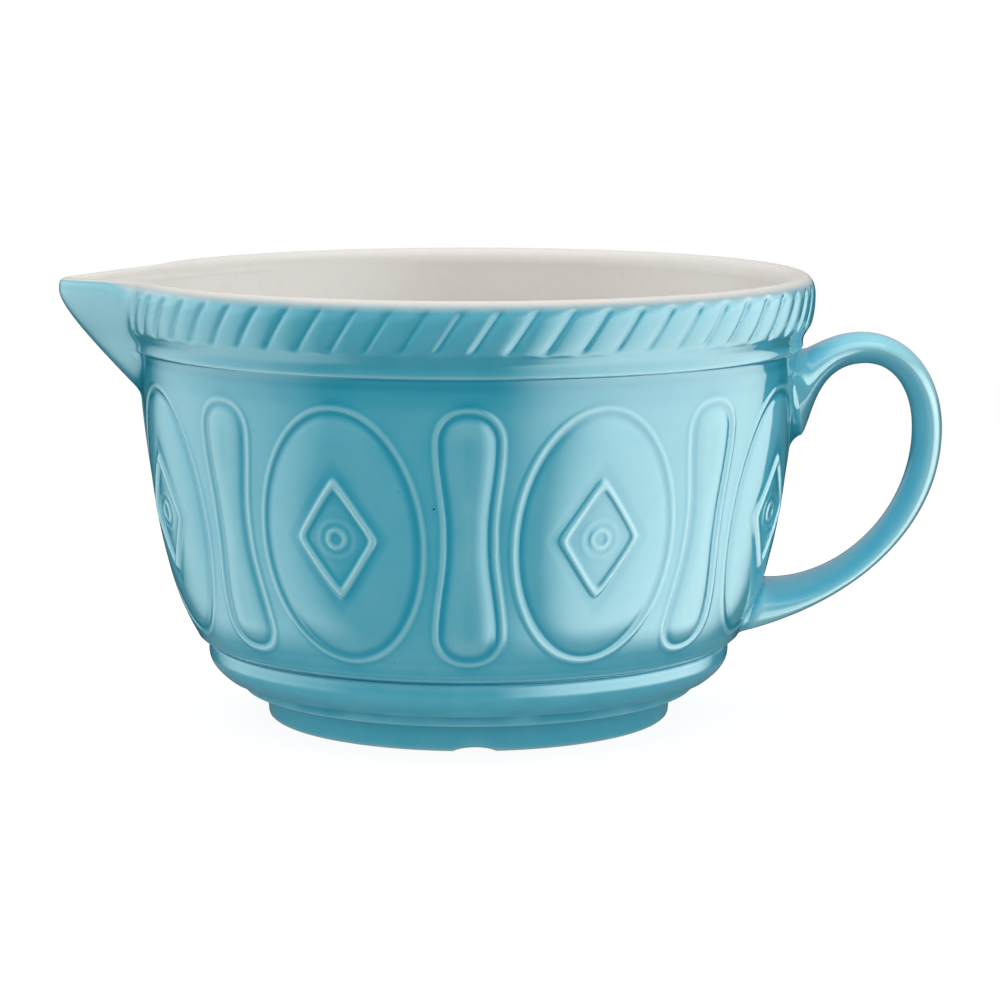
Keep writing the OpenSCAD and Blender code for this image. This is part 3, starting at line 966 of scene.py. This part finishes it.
def glaze_depth(points: Array, normals: Array) -> dict[str, Array]:
    """Works out where the running glaze lies deep and where it breaks thin.

    Molten glaze draws off ridges and pools in hollows, so its depth follows how far a place lies under
    the mean of the surface round it.

    Args:
        points: The grid's points, in millimetres.
        normals: Its normals.

    Returns:
        "fine" depth over about a millimetre and "broad" depth over several, both about 0 on a plain wall.
    """
    row_step, least_pitch, most_cells = 0.55, 0.02, 200
    pitch = np.linalg.norm(np.roll(points, -1, 1) - points, axis=-1).mean(1)
    out = {}
    for name, width in (("fine", 0.8), ("broad", 2.6)):
        cells = np.minimum(width / np.maximum(pitch, least_pitch), most_cells)
        out[name] = np.einsum("ijk,ijk->ij", blurred(points, width / row_step, cells) - points, normals)
    return out


@dataclass
class Handle:
    """The pulled strap handle, drawn as in the CAD and luted to the wall with rounded fillets."""

    node: str = "handle"
    wall_top_r: float = 100.0
    reach: float = 43.9
    low_z: float = 25.9
    height: float = 87.1
    thickness: float = 9.0
    root_h: float = 24.8
    foot_h: float = 16.0
    width: float = 22.0
    root_w: float = 42.0
    flare_start: float = 0.25
    flare_powers: Pair = (2.0, 1.6)
    egg: float = 0.3
    skew: float = 0.3
    section_power: float = 0.92
    ridged: float = 0.28
    ridge_soft: float = 0.02
    fillets: Pair = (4.6, 1.3)
    sunk: float = 8.0
    sides: int = 96
    rail_steps: int = 400
    run_past: float = 0.1
    trial_ends: tuple[Pair, Pair] = ((-0.1, 0.9), (3.1, 2.3))
    trials: int = 700
    length: float = 190.0
    end_steps: tuple[float, ...] = (0.04, 0.06, 0.09, 0.13, 0.18, 0.24, 0.3, 0.4, 0.5, 0.6, 0.7, 0.8)
    ring_step: float = 0.9
    tucked: float = 1.2
    paler_by: float = 0.09
    broad_share: float = 0.6
    pooled: float = 0.12
    pooled_w: float = 5.5
    outer_arms: tuple[Pair, ...] = (
        (-0.09, 0.943), (0.066, 0.972), (0.212, 1.04), (0.444, 1.04), (0.784, 1.04), (1, 0.885),
        (1, 0.7), (1, 0.358), (0.438, 0.11), (-0.34, 0.006))
    inner_arms: tuple[Pair, ...] = (
        (0.208, -0.905), (0.06, -0.849), (-0.522, -1.04), (0.11, -1.04), (-0.6, -1.04), (-0.98, -0.44),
        (-0.98, 0), (-0.96, 0.44), (-0.75, 0.38), (0.33, 0.9))

    def rails(self) -> tuple[Array, Array, Array]:
        """The strap's outer and inner edges in the middle plane, carried on into the wall at both ends.

        Returns:
            The stations, from 0 at the upper root to 3 at the lower one, and both edges' points (x, z).
        """
        depth = [self.root_h] * 2 + [self.thickness] * 7 + [self.foot_h]
        outer = placed(self.outer_arms, (self.wall_top_r, self.low_z), (self.reach, self.height))
        inner = [(x + d * a, z + d * b) for (x, z), d, (a, b) in zip(outer, depth, self.inner_arms)]
        place = np.linspace(0, 3, 3 * self.rail_steps + 1)
        place = np.concatenate([[-self.run_past], place, [3 + self.run_past]])
        edges = []
        for rail in (outer, inner):
            curves = [bezier(rail[3 * k:3 * k + 4], self.rail_steps)[:-1] for k in range(3)]
            run = np.vstack([*curves, [rail[-1]]])
            upper, lower = run[:1] - [[self.sunk, 0]], run[-1:] - [[self.sunk, self.sunk / 4]]
            edges.append(np.vstack([upper, run, lower]))
        return place, edges[0], edges[1]

    def skin(self, place: Array) -> Array:
        """The strap's own surface, before it is luted on.

        Args:
            place: Stations, one row a ring and one column a side.

        Returns:
            The points.
        """
        known, *rails = self.rails()
        outer, inner = (np.stack([np.interp(place, known, rail[:, k]) for k in (0, 1)], -1) for rail in rails)
        a = 2 * math.pi * np.arange(self.sides) / self.sides
        cos, sin = np.cos(a), np.sin(a)
        upper = np.clip(1 - place, 0, 1) ** self.flare_powers[0]
        lower = (place - 2 - self.flare_start) / (1 - self.flare_start)
        lower = np.clip(lower, 0, 1) ** self.flare_powers[1]
        flared = np.maximum(upper, lower)
        half = (self.width + (self.root_w - self.width) * flared) / 2
        share = ((1 + np.sign(cos) * np.abs(cos) ** self.section_power) / 2)[None, :, None]
        spine = inner + (outer - inner) * (share + self.skew * share * (1 - share))
        # The free strap's edge is drawn to a soft ridge between two flatter faces
        soft = math.sqrt(self.ridge_soft)
        ridge = 1 - (np.hypot(cos, soft) - soft) / (math.hypot(1, soft) - soft)
        side = np.abs(sin) ** self.section_power
        side = side + self.ridged * (1 - flared) * (ridge - side)
        y = half * np.sign(sin) * side * (1 + self.egg * upper * cos[None, :])
        return np.stack([spine[..., 0], y, spine[..., 1]], -1)

    @staticmethod
    def stand(points: Array, vessel: Vessel) -> Array:
        """How far points stand off the pot's outer face."""
        azimuth = np.arctan2(points[..., 1], points[..., 0])
        return np.hypot(points[..., 0], points[..., 1]) - vessel.outer_radius(azimuth, points[..., 2])

    def seats(self, vessel: Vessel) -> list[Array]:
        """Finds where each side of the strap comes out of the wall.

        Args:
            vessel: The pot.

        Returns:
            The sides' stations at the upper and at the lower root.
        """
        sides = np.arange(self.sides)
        out = []
        for near, far in self.trial_ends:
            trial = np.repeat(np.linspace(near, far, self.trials)[:, None], self.sides, 1)
            off = self.stand(self.skin(trial), vessel)
            last = self.trials - 1 - np.argmax(off[::-1] < 0, axis=0)
            low, high = off[last, sides], off[np.minimum(last + 1, self.trials - 1), sides]
            t = np.clip(-low / np.maximum(high - low, TINY), 0, 1)
            out.append(trial[last, sides] + t * (trial[1, 0] - trial[0, 0]))
        return out

    def build(self, vessel: Vessel) -> Skin:
        """Makes the strap, each of whose sides runs from the wall back to the wall.

        Args:
            vessel: The pot that the strap is luted to.

        Returns:
            Its skin.
        """
        steps = [*self.end_steps]
        middle = [self.ring_step] * int((self.length - 2 * sum(steps)) / self.ring_step)
        t = np.concatenate([[0], np.cumsum(steps + middle + steps[::-1])])
        t /= t[-1]
        upper, lower = self.seats(vessel)
        points = self.skin(upper[None, :] + (lower - upper)[None, :] * t[:, None])
        centre = points.mean(1, keepdims=True)
        points = self.luted(points, centre, t, vessel)
        normals = grid_normals(points)
        if np.einsum("ijk,ijk->", normals, points - centre) < 0:
            normals = -normals
        values = glaze_depth(points, normals)
        at_root = 1 - smooth_step(0, self.pooled_w, self.stand(points, vessel))
        values["broad"] = self.broad_share * values["broad"] + self.pooled * at_root
        values["fine"] -= self.paler_by
        # One more ring at each end goes down into the wall
        ends = [points[ring] * (1, 1, 0) for ring in (0, -1)]
        ends = [out / np.linalg.norm(out, axis=-1, keepdims=True) * self.tucked for out in ends]
        points = np.concatenate([(points[0] - ends[0])[None], points, (points[-1] - ends[1])[None]])
        normals, fine, broad = (
            np.concatenate([v[:1], v, v[-1:]]) for v in (normals, values["fine"], values["broad"]))
        zero = np.zeros(fine.shape)
        return Skin(points, normals, {"cream": zero, "bare": zero, "fine": fine, "broad": broad})

    def luted(self, points: Array, centre: Array, t: Array, vessel: Vessel) -> Array:
        """Spreads both ends of the strap's skin over the wall in a rounded fillet.

        Args:
            points: The strap's grid.
            centre: The middle of each ring.
            t: Each ring's share of the way from one end to the other.
            vessel: The pot.

        Returns:
            The moved grid.
        """
        off = self.stand(points, vessel)
        fillet = np.where(t < 0.5, *self.fillets)[:, None]
        azimuth = np.arctan2(points[..., 1], points[..., 0])
        slope = (vessel.wall.radius(points[..., 2] + 1) - vessel.wall.radius(points[..., 2] - 1)) / 2
        wall_normal = np.stack([np.cos(azimuth), np.sin(azimuth), -slope], -1)
        wall_normal /= np.linalg.norm(wall_normal, axis=-1, keepdims=True)
        away = points - centre
        away -= np.einsum("ijk,ijk->ij", away, wall_normal)[..., None] * wall_normal
        away /= np.linalg.norm(away, axis=-1, keepdims=True) + TINY
        share = 1 - np.clip(off / fillet, 0, 1)
        spread = fillet * (1 - np.sqrt(1 - np.minimum(share, 1) ** 2))
        moved = points + away * spread[..., None]
        radius = np.hypot(moved[..., 0], moved[..., 1])
        scale = np.where(off < fillet, (radius - self.stand(moved, vessel) + off) / radius, 1)
        moved[..., :2] *= scale[..., None]
        return moved


def linear(hex_colour: str) -> tuple[float, float, float, float]:
    """Turns an sRGB hex colour, six digits after a hash, to linear RGBA."""
    parts = [int(hex_colour[k:k + 2], 16) / 255 for k in (1, 3, 5)]
    return (*(c / 12.92 if c <= 0.04045 else ((c + 0.055) / 1.055) ** 2.4 for c in parts), 1.0)


def pattern_scale(size_mm: float) -> float:
    """The scale of a noise in object space whose features are this many millimetres across."""
    return 1 / (size_mm * METRES_PER_MM)


def add_node(tree: bpy.types.NodeTree, kind: str, settings: dict[str, Any] | None = None,
             **inputs: Any) -> bpy.types.Node:
    """Adds a shader node with its settings and links.

    Args:
        tree: The node tree.
        kind: The node's type name, without "ShaderNode".
        settings: Properties to set on the node.
        **inputs: Inputs by name, with _ for a space, or in_N for the one at place N. A socket, or the
            first output in use of a node, is linked, and a value is set.

    Returns:
        The new node.
    """
    node = tree.nodes.new("ShaderNode" + kind)
    for name, value in (settings or {}).items():
        setattr(node, name, value)
    for name, value in inputs.items():
        socket = node.inputs[int(name[3:]) if name.startswith("in_") else name.replace("_", " ")]
        if isinstance(value, bpy.types.Node):
            value = next(output for output in value.outputs if output.enabled)
        if isinstance(value, bpy.types.NodeSocket):
            tree.links.new(value, socket)
        else:
            socket.default_value = value
    return node


def empty_tree(owner: bpy.types.ID) -> bpy.types.NodeTree:
    """Gives a material, light or world an empty node tree.

    Args:
        owner: The material, light or world.

    Returns:
        The tree.
    """
    owner.use_nodes = True
    owner.node_tree.nodes.clear()
    return owner.node_tree


def in_scene(name: str, data: bpy.types.ID) -> bpy.types.Object:
    """Makes an object and links it to the scene.

    Args:
        name: The object's name.
        data: Its mesh, light or camera.

    Returns:
        The object.
    """
    made = bpy.data.objects.new(name, data)
    bpy.context.scene.collection.objects.link(made)
    return made


COLOURS = {"data_type": "RGBA"}
SMOOTH = {"interpolation_type": "SMOOTHSTEP"}
ADD = {"operation": "ADD", "use_clamp": True}
MULTIPLY = {"operation": "MULTIPLY"}
MULTIPLY_ADD = {"operation": "MULTIPLY_ADD"}
MAXIMUM = {"operation": "MAXIMUM"}


@dataclass(frozen=True)
class StonewareGlaze:
    """Fired stoneware under a glossy, translucent glaze, dipped turquoise outside and poured cream inside.

    The eye sees deep teal where the glaze pooled in grooves, pale blue where it broke thin over ridges,
    cream that bleeds into it at the lip, a few iron specks and a wet, even shine.
    """

    name: str = "turquoise_glazed_stoneware"
    thin: str = "#A5DCE6"
    even: str = "#39B5CF"
    deep: str = "#2792B0"
    cream: str = "#DAD6D1"
    clay: str = "#D8CCB6"
    iron: str = "#2A4A52"
    roughness: float = 0.07
    clay_roughness: float = 0.85
    ior: float = 1.52
    gloss: float = 0.5
    depth_range: Pair = (-0.3, 0.4)
    broad_share: float = 0.5
    mottle_mm: float = 9.0
    mottle_share: float = 0.1
    wander_mm: float = 3.0
    wander_share: float = 0.24
    bleed: float = 0.15
    speck_core: float = 0.45
    grain_mm: float = 0.8
    grain_range: Pair = (0.86, 1.06)
    ripple_mm: float = 14.0
    ripple_h_mm: float = 0.8
    ripple_strength: float = 0.12
    specks: tuple[tuple[float, float, float, float], ...] = ()

    def build(self) -> bpy.types.Material:
        """Makes the material.

        Returns:
            The material.
        """
        material = bpy.data.materials.new(self.name)
        node = partial(add_node, empty_tree(material))
        where = node("TexCoord").outputs["Object"]
        fine, broad, cream, bare = (node("Attribute", {"attribute_name": name}).outputs["Fac"]
                                    for name in ("fine", "broad", "cream", "bare"))
        # Depth of the glaze: ridges below 0, hollows above, with a faint cloudiness
        mottle = node("TexNoise", Vector=where, Scale=pattern_scale(self.mottle_mm), Detail=3.0,
                      Roughness=0.55)
        depth = node("Math", MULTIPLY_ADD, in_0=broad, in_1=self.broad_share, in_2=fine)
        depth = node("Math", MULTIPLY_ADD, in_0=mottle, in_1=self.mottle_share, in_2=depth)
        low, high = self.depth_range
        ramp = node("ValToRGB", Fac=node("MapRange", Value=depth, From_Min=low, From_Max=high))
        ramp.color_ramp.interpolation = "B_SPLINE"
        stops = ramp.color_ramp.elements
        stops[0].color, stops[1].color = linear(self.thin), linear(self.deep)
        stops.new(0.5).color = linear(self.even)
        # The cream glaze lies over the lip and bleeds into the blue over a millimetre or two
        wander = node("TexNoise", Vector=where, Scale=pattern_scale(self.wander_mm), Detail=2.0)
        edge = node("Math", MULTIPLY_ADD, in_0=wander, in_1=self.wander_share, in_2=-self.wander_share / 2)
        edge = node("Math", ADD, in_0=cream, in_1=edge)
        covered = node("MapRange", Value=cream, From_Max=self.bleed)
        edge = node("Math", MULTIPLY, in_0=edge, in_1=covered)
        colour = node("Mix", COLOURS, in_0=edge, in_6=ramp, in_7=linear(self.cream))
        for speck in self.specks:
            x, y, z, size = (METRES_PER_MM * length for length in speck)
            off = node("VectorMath", {"operation": "DISTANCE"}, in_0=where, in_1=(x, y, z))
            dot = node("MapRange", Value=off, From_Min=size, From_Max=size * self.speck_core)
            colour = node("Mix", COLOURS, in_0=dot, in_6=colour, in_7=linear(self.iron))
        # The foot's face is wiped clean of glaze and shows the dry clay
        grain = node("TexNoise", Vector=where, Scale=pattern_scale(self.grain_mm), Detail=4.0)
        clay = node("MapRange", Value=grain, To_Min=self.grain_range[0], To_Max=self.grain_range[1])
        clay = node("Mix", {**COLOURS, "blend_type": "MULTIPLY"}, in_0=1.0, in_6=linear(self.clay), in_7=clay)
        colour = node("Mix", COLOURS, in_0=bare, in_6=colour, in_7=clay)
        rough = node("MapRange", Value=bare, To_Min=self.roughness, To_Max=self.clay_roughness)
        # A fired glaze is never quite flat: long low ripples bend its reflections a little
        ripple = node("TexNoise", Vector=where, Scale=pattern_scale(self.ripple_mm), Detail=2.0,
                      Roughness=0.4)
        bump = node("Bump", Strength=self.ripple_strength, Distance=self.ripple_h_mm * METRES_PER_MM,
                    Height=ripple)
        node("OutputMaterial", Surface=node(
            "BsdfPrincipled", Base_Color=colour, Roughness=rough, IOR=self.ior, Normal=bump,
            Specular_IOR_Level=self.gloss))
        return material


def make_piece(name: str, skin: Skin, cells: Array, material: bpy.types.Material) -> bpy.types.Object:
    """Makes a mesh object from the marked cells of a skin.

    Args:
        name: The piece's name.
        skin: The skin. Its normals are kept, so that pieces meet without a seam.
        cells: Which cells to keep, one row fewer than the points.
        material: The piece's finish.

    Returns:
        The new object, riding on the frame's body.
    """
    rows, columns = skin.points.shape[:2]
    points, normals = skin.points.reshape(-1, 3), skin.normals.reshape(-1, 3)
    i, j = np.where(cells)
    start, right = i * columns, (j + 1) % columns
    corners = np.stack([start + j, start + right, start + columns + right, start + columns + j], 1)
    quads = points[corners]
    facing = np.cross(quads[:, 2] - quads[:, 0], quads[:, 3] - quads[:, 1])
    inward = np.einsum("ij,ij->i", facing, normals[corners].sum(1)) < 0
    corners[inward] = corners[inward][:, ::-1]
    used, corners = np.unique(corners.ravel(), return_inverse=True)
    # A ring that closes in on the axis is capped
    sizes = [4] * (len(corners) // 4)
    for ring, kept in ((0, cells[0]), (rows - 1, cells[-1])):
        if kept.all() and np.hypot(*skin.points[ring, 0, :2]) < 1:
            cap = np.searchsorted(used, ring * columns + np.arange(columns))
            corners = np.concatenate([corners, cap if skin.normals[ring, 0, 2] > 0 else cap[::-1]])
            sizes.append(columns)
    mesh = bpy.data.meshes.new(name)
    mesh.vertices.add(len(used))
    mesh.vertices.foreach_set("co", (points[used] * METRES_PER_MM).astype(np.float32).ravel())
    mesh.loops.add(len(corners))
    mesh.loops.foreach_set("vertex_index", corners.astype(np.int32).ravel())
    mesh.polygons.add(len(sizes))
    mesh.polygons.foreach_set("loop_start", np.cumsum([0] + sizes[:-1]).astype(np.int32))
    mesh.update(calc_edges=True)
    mesh.validate()
    mesh.shade_smooth()
    for key, value in skin.values.items():
        attribute = mesh.attributes.new(key, "FLOAT", "POINT")
        attribute.data.foreach_set("value", value.reshape(-1)[used].astype(np.float32))
    mesh.normals_split_custom_set_from_vertices(normals[used].tolist())
    mesh.materials.append(material)
    piece = in_scene(name, mesh)
    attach(piece, BODY)
    return piece


def soft_light(name: str, size: Pair, energy: float) -> bpy.types.Object:
    """Makes a rectangular light that the camera doesn't see.

    Args:
        name: Its name.
        size: Its width and height.
        energy: Its power in watts.

    Returns:
        The light.
    """
    data = bpy.data.lights.new(name, "AREA")
    data.shape, data.energy = "RECTANGLE", energy
    data.size, data.size_y = size
    light = in_scene(name, data)
    light.visible_camera = False
    return light


@dataclass(frozen=True)
class GlossPanel:
    """A large white board beside the bowl that shows only as a soft reflection in the glaze."""

    name: str
    turn: float
    half_turn: float
    radiance: float
    ramp: tuple[float, float, float, float]
    heights: Pair = (-2.6, 0.9)
    fades: Pair = (0.4, 0.81)
    distance: float = 1.0
    tint: str = "#EDFFFC"

    def build(self) -> None:
        """Stands the board upright, facing the bowl, with its light fading towards all four edges."""
        low, high = self.heights
        width = 2 * self.distance * math.tan(math.radians(self.half_turn))
        board = soft_light(self.name, (width, high - low), self.radiance * width * (high - low) * math.pi)
        node = partial(add_node, empty_tree(board.data))
        place = node("NewGeometry").outputs["Parametric"]
        along, upward, _ = node("SeparateXYZ", Vector=place).outputs
        start, full, fading, end = self.ramp
        glow = node("MapRange", SMOOTH, Value=along, From_Min=start, From_Max=full)
        rest = ((along, end, fading), (upward, 0.0, self.fades[0]), (upward, 1.0, self.fades[1]))
        for way, edge, inner in rest:
            share = node("MapRange", SMOOTH, Value=way, From_Min=edge, From_Max=inner)
            glow = node("Math", MULTIPLY, in_0=glow, in_1=share)
        node("OutputLight", in_0=node("Emission", Color=linear(self.tint), Strength=glow))
        a = math.radians(self.turn)
        out = Vector((math.sin(a), -math.cos(a), 0))
        board.location = out * self.distance + Vector((0, 0, (high + low) / 2))
        board.rotation_euler = (-out).to_track_quat("-Z", "Y").to_euler()
        board.visible_diffuse = False


@dataclass(frozen=True)
class PaperFloor:
    """A round sheet of white paper over a light table, which fades into the surround.

    The eye sees no edge and no horizon, and only a soft, pale shadow under the bowl.
    """

    name: str = "studio_floor"
    finish: str = "white_paper_floor"
    paper: str = "#FAFAFA"
    radii: Pair = (0.02, 0.9)
    rings: int = 12
    sides: int = 96
    z: float = -0.0001
    fade: Pair = (0.22, 0.855)
    mirror_fade: Pair = (0.1, 0.13)
    glow_share: float = 0.84
    seen_glow: float = 1.08
    cast_glow: float = 0.5
    mirror_glow: float = 0.1

    def material(self) -> bpy.types.Material:
        """Makes the paper's material.

        Returns:
            The material.
        """
        material = bpy.data.materials.new(self.finish)
        node = partial(add_node, empty_tree(material))
        where = node("TexCoord").outputs["Object"]
        far = node("VectorMath", {"operation": "LENGTH"}, in_0=where)
        ray = node("LightPath").outputs
        fade, mirror_fade = (node("MapRange", SMOOTH, Value=far, From_Min=start, From_Max=end)
                             for start, end in (self.fade, self.mirror_fade))
        # It glows to the camera, and less to the bowl, so that the bowl's base stays deep
        glow = node("MapRange", Value=ray["Is Camera Ray"], To_Min=self.cast_glow, To_Max=self.seen_glow)
        glow = node("MapRange", Value=ray["Is Glossy Ray"], To_Min=glow, To_Max=self.mirror_glow)
        paper = node("MixShader", in_0=self.glow_share, in_1=node("BsdfDiffuse", Color=linear(self.paper)),
                     in_2=node("Emission", Strength=glow))
        # Its mirror image in the glaze ends just outside the foot, where the boards' light takes over
        soft = node("Math", MAXIMUM, in_0=ray["Is Glossy Ray"], in_1=ray["Is Shadow Ray"])
        mirror_fade = node("Math", MULTIPLY, in_0=mirror_fade, in_1=soft)
        # From below the floor is clear, so that the bowl's underside can be looked at
        for clear in (mirror_fade, node("NewGeometry").outputs["Backfacing"]):
            fade = node("Math", MAXIMUM, in_0=fade, in_1=clear)
        node("OutputMaterial", Surface=node(
            "MixShader", in_0=fade, in_1=paper, in_2=node("BsdfTransparent")))
        return material

    def build(self) -> None:
        """Lays the floor."""
        turns = 2 * math.pi * np.arange(self.sides) / self.sides
        points = [(r * math.cos(t), r * math.sin(t), self.z)
                  for r in np.linspace(*self.radii, self.rings) for t in turns]
        faces = []
        for low in range(0, len(points) - self.sides, self.sides):
            high = low + self.sides
            for j in range(self.sides):
                right = (j + 1) % self.sides
                faces.append((high + j, high + right, low + right, low + j))
        faces.append(tuple(range(self.sides)))
        mesh = bpy.data.meshes.new(self.name)
        mesh.from_pydata(points, [], faces)
        mesh.materials.append(self.material())
        floor = in_scene(self.name, mesh)


@dataclass
class Studio:
    """A pale floor, a white surround and large soft boards, with the camera at the photograph's place."""

    lens_mm: float = 123.296
    sensor_mm: float = 36.0
    clip: Pair = (0.05, 20.0)
    camera_place: Triple = (0.0, -1.034887, 0.216877)
    camera_pitch: float = 8.34705
    shift_x: float = 0.0315
    softbox_size: Pair = (1.5, 1.2)
    softbox_z: float = 1.5
    softbox_energy: float = 9.0
    surround: str = "#FFFFFF"
    horizon: Pair = (-0.02, 0.02)
    fill: float = 1.14
    mirrored: float = 0.45
    boards: tuple[GlossPanel, ...] = (
        GlossPanel("handle_side_board", 72, 62, 7.6, (0.0, 0.46, 0.5, 1.05)),
        GlossPanel("spout_side_board", -95, 50, 2.85, (0.0, 0.45, 0.55, 0.98)),
    )

    def camera(self) -> None:
        """Places the camera at the photograph's angle, looking along +Y and a little down."""
        data = bpy.data.cameras.new("photo_camera")
        data.lens, data.sensor_width, data.sensor_fit = self.lens_mm, self.sensor_mm, "HORIZONTAL"
        data.clip_start, data.clip_end = self.clip
        data.shift_x = self.shift_x
        camera = in_scene("photo_camera", data)
        camera.location = self.camera_place
        camera.rotation_euler = (math.radians(90 - self.camera_pitch), 0, 0)
        bpy.context.scene.camera = camera

    def lights(self) -> None:
        """Stands the boards and hangs the soft light over the bowl."""
        for board in self.boards:
            board.build()
        softbox = soft_light("top_softbox", self.softbox_size, self.softbox_energy)
        softbox.location = (0, 0, self.softbox_z)

    def world(self) -> None:
        """Sets a white surround for the camera, and a softer fill from above for the bowl."""
        world = bpy.data.worlds.new("white_surround")
        node = partial(add_node, empty_tree(world))
        height = node("SeparateXYZ", Vector=node("TexCoord").outputs["Generated"]).outputs["Z"]
        low, high = self.horizon
        above = node("MapRange", Value=height, From_Min=low, From_Max=high, To_Max=self.fill)
        ray = node("LightPath").outputs
        share = node("MapRange", Value=ray["Is Glossy Ray"], To_Min=1.0, To_Max=self.mirrored)
        lit = node("Background", Strength=node("Math", MULTIPLY, in_0=above, in_1=share))
        seen = node("Background", Color=linear(self.surround), Strength=1.0)
        node("OutputWorld", in_0=node("MixShader", in_0=ray["Is Camera Ray"], in_1=lit, in_2=seen))
        bpy.context.scene.world = world
        bpy.context.scene.view_settings.view_transform = "Standard"
        bpy.context.scene.view_settings.look = "None"

    def build(self) -> None:
        """Sets up the whole studio."""
        self.camera()
        self.lights()
        self.world()
        PaperFloor().build()


# What each stretch of the profile belongs to, where it isn't the body and has no motif on it
SECTION_PARTS = {
    Section.INSIDE: Part.INSIDE_GLAZE,
    Section.LIP_IN: Part.INSIDE_GLAZE,
    Section.LIP_OUT: Part.RIM_BAND,
    Section.BAND: Part.RIM_BAND,
    Section.MOULDING: Part.BASE_MOULDING,
    Section.FOOT: Part.FOOT_RING,
}

# Azimuth in degrees, height and size in millimetres of the iron specks that fired through the glaze
SPECKS = (
    (-95.74, 76.5, 0.42), (-101.5, 81.4, 0.22), (-104.2, 30.6, 0.24), (-72.6, 57.3, 0.2),
    (-128.0, 96.2, 0.24), (-31.0, 68.8, 0.26), (22.0, 91.5, 0.28), (61.0, 47.0, 0.36),
    (97.5, 83.0, 0.22), (139.0, 62.0, 0.26))


def main() -> None:
    """Builds every piece in order, dresses it and reports it."""
    logging.basicConfig(level=logging.INFO, format="%(message)s")
    Studio().build()
    vessel = Vessel()
    glaze = StonewareGlaze(specks=tuple(vessel.speck(*s) for s in SPECKS)).build()
    liner = StonewareGlaze(name="cream_liner_glaze", roughness=0.18, gloss=0.16).build()
    skin, parts = vessel.build()
    for part in Part:
        finish = liner if part is Part.INSIDE_GLAZE else glaze
        piece = make_piece(f"{part.value}_glazed", skin, parts[:-1] == part, finish)
        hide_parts(part.value)
        log.info("%s: %d faces", piece.name, len(piece.data.polygons))
    handle = Handle()
    strap = handle.build(vessel)
    piece = make_piece("strap_handle_glazed", strap, np.ones(strap.points.shape[:2], bool)[:-1], glaze)
    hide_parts(handle.node)
    log.info("%s: %d faces", piece.name, len(piece.data.polygons))


if __name__ == "__main__":
    main()
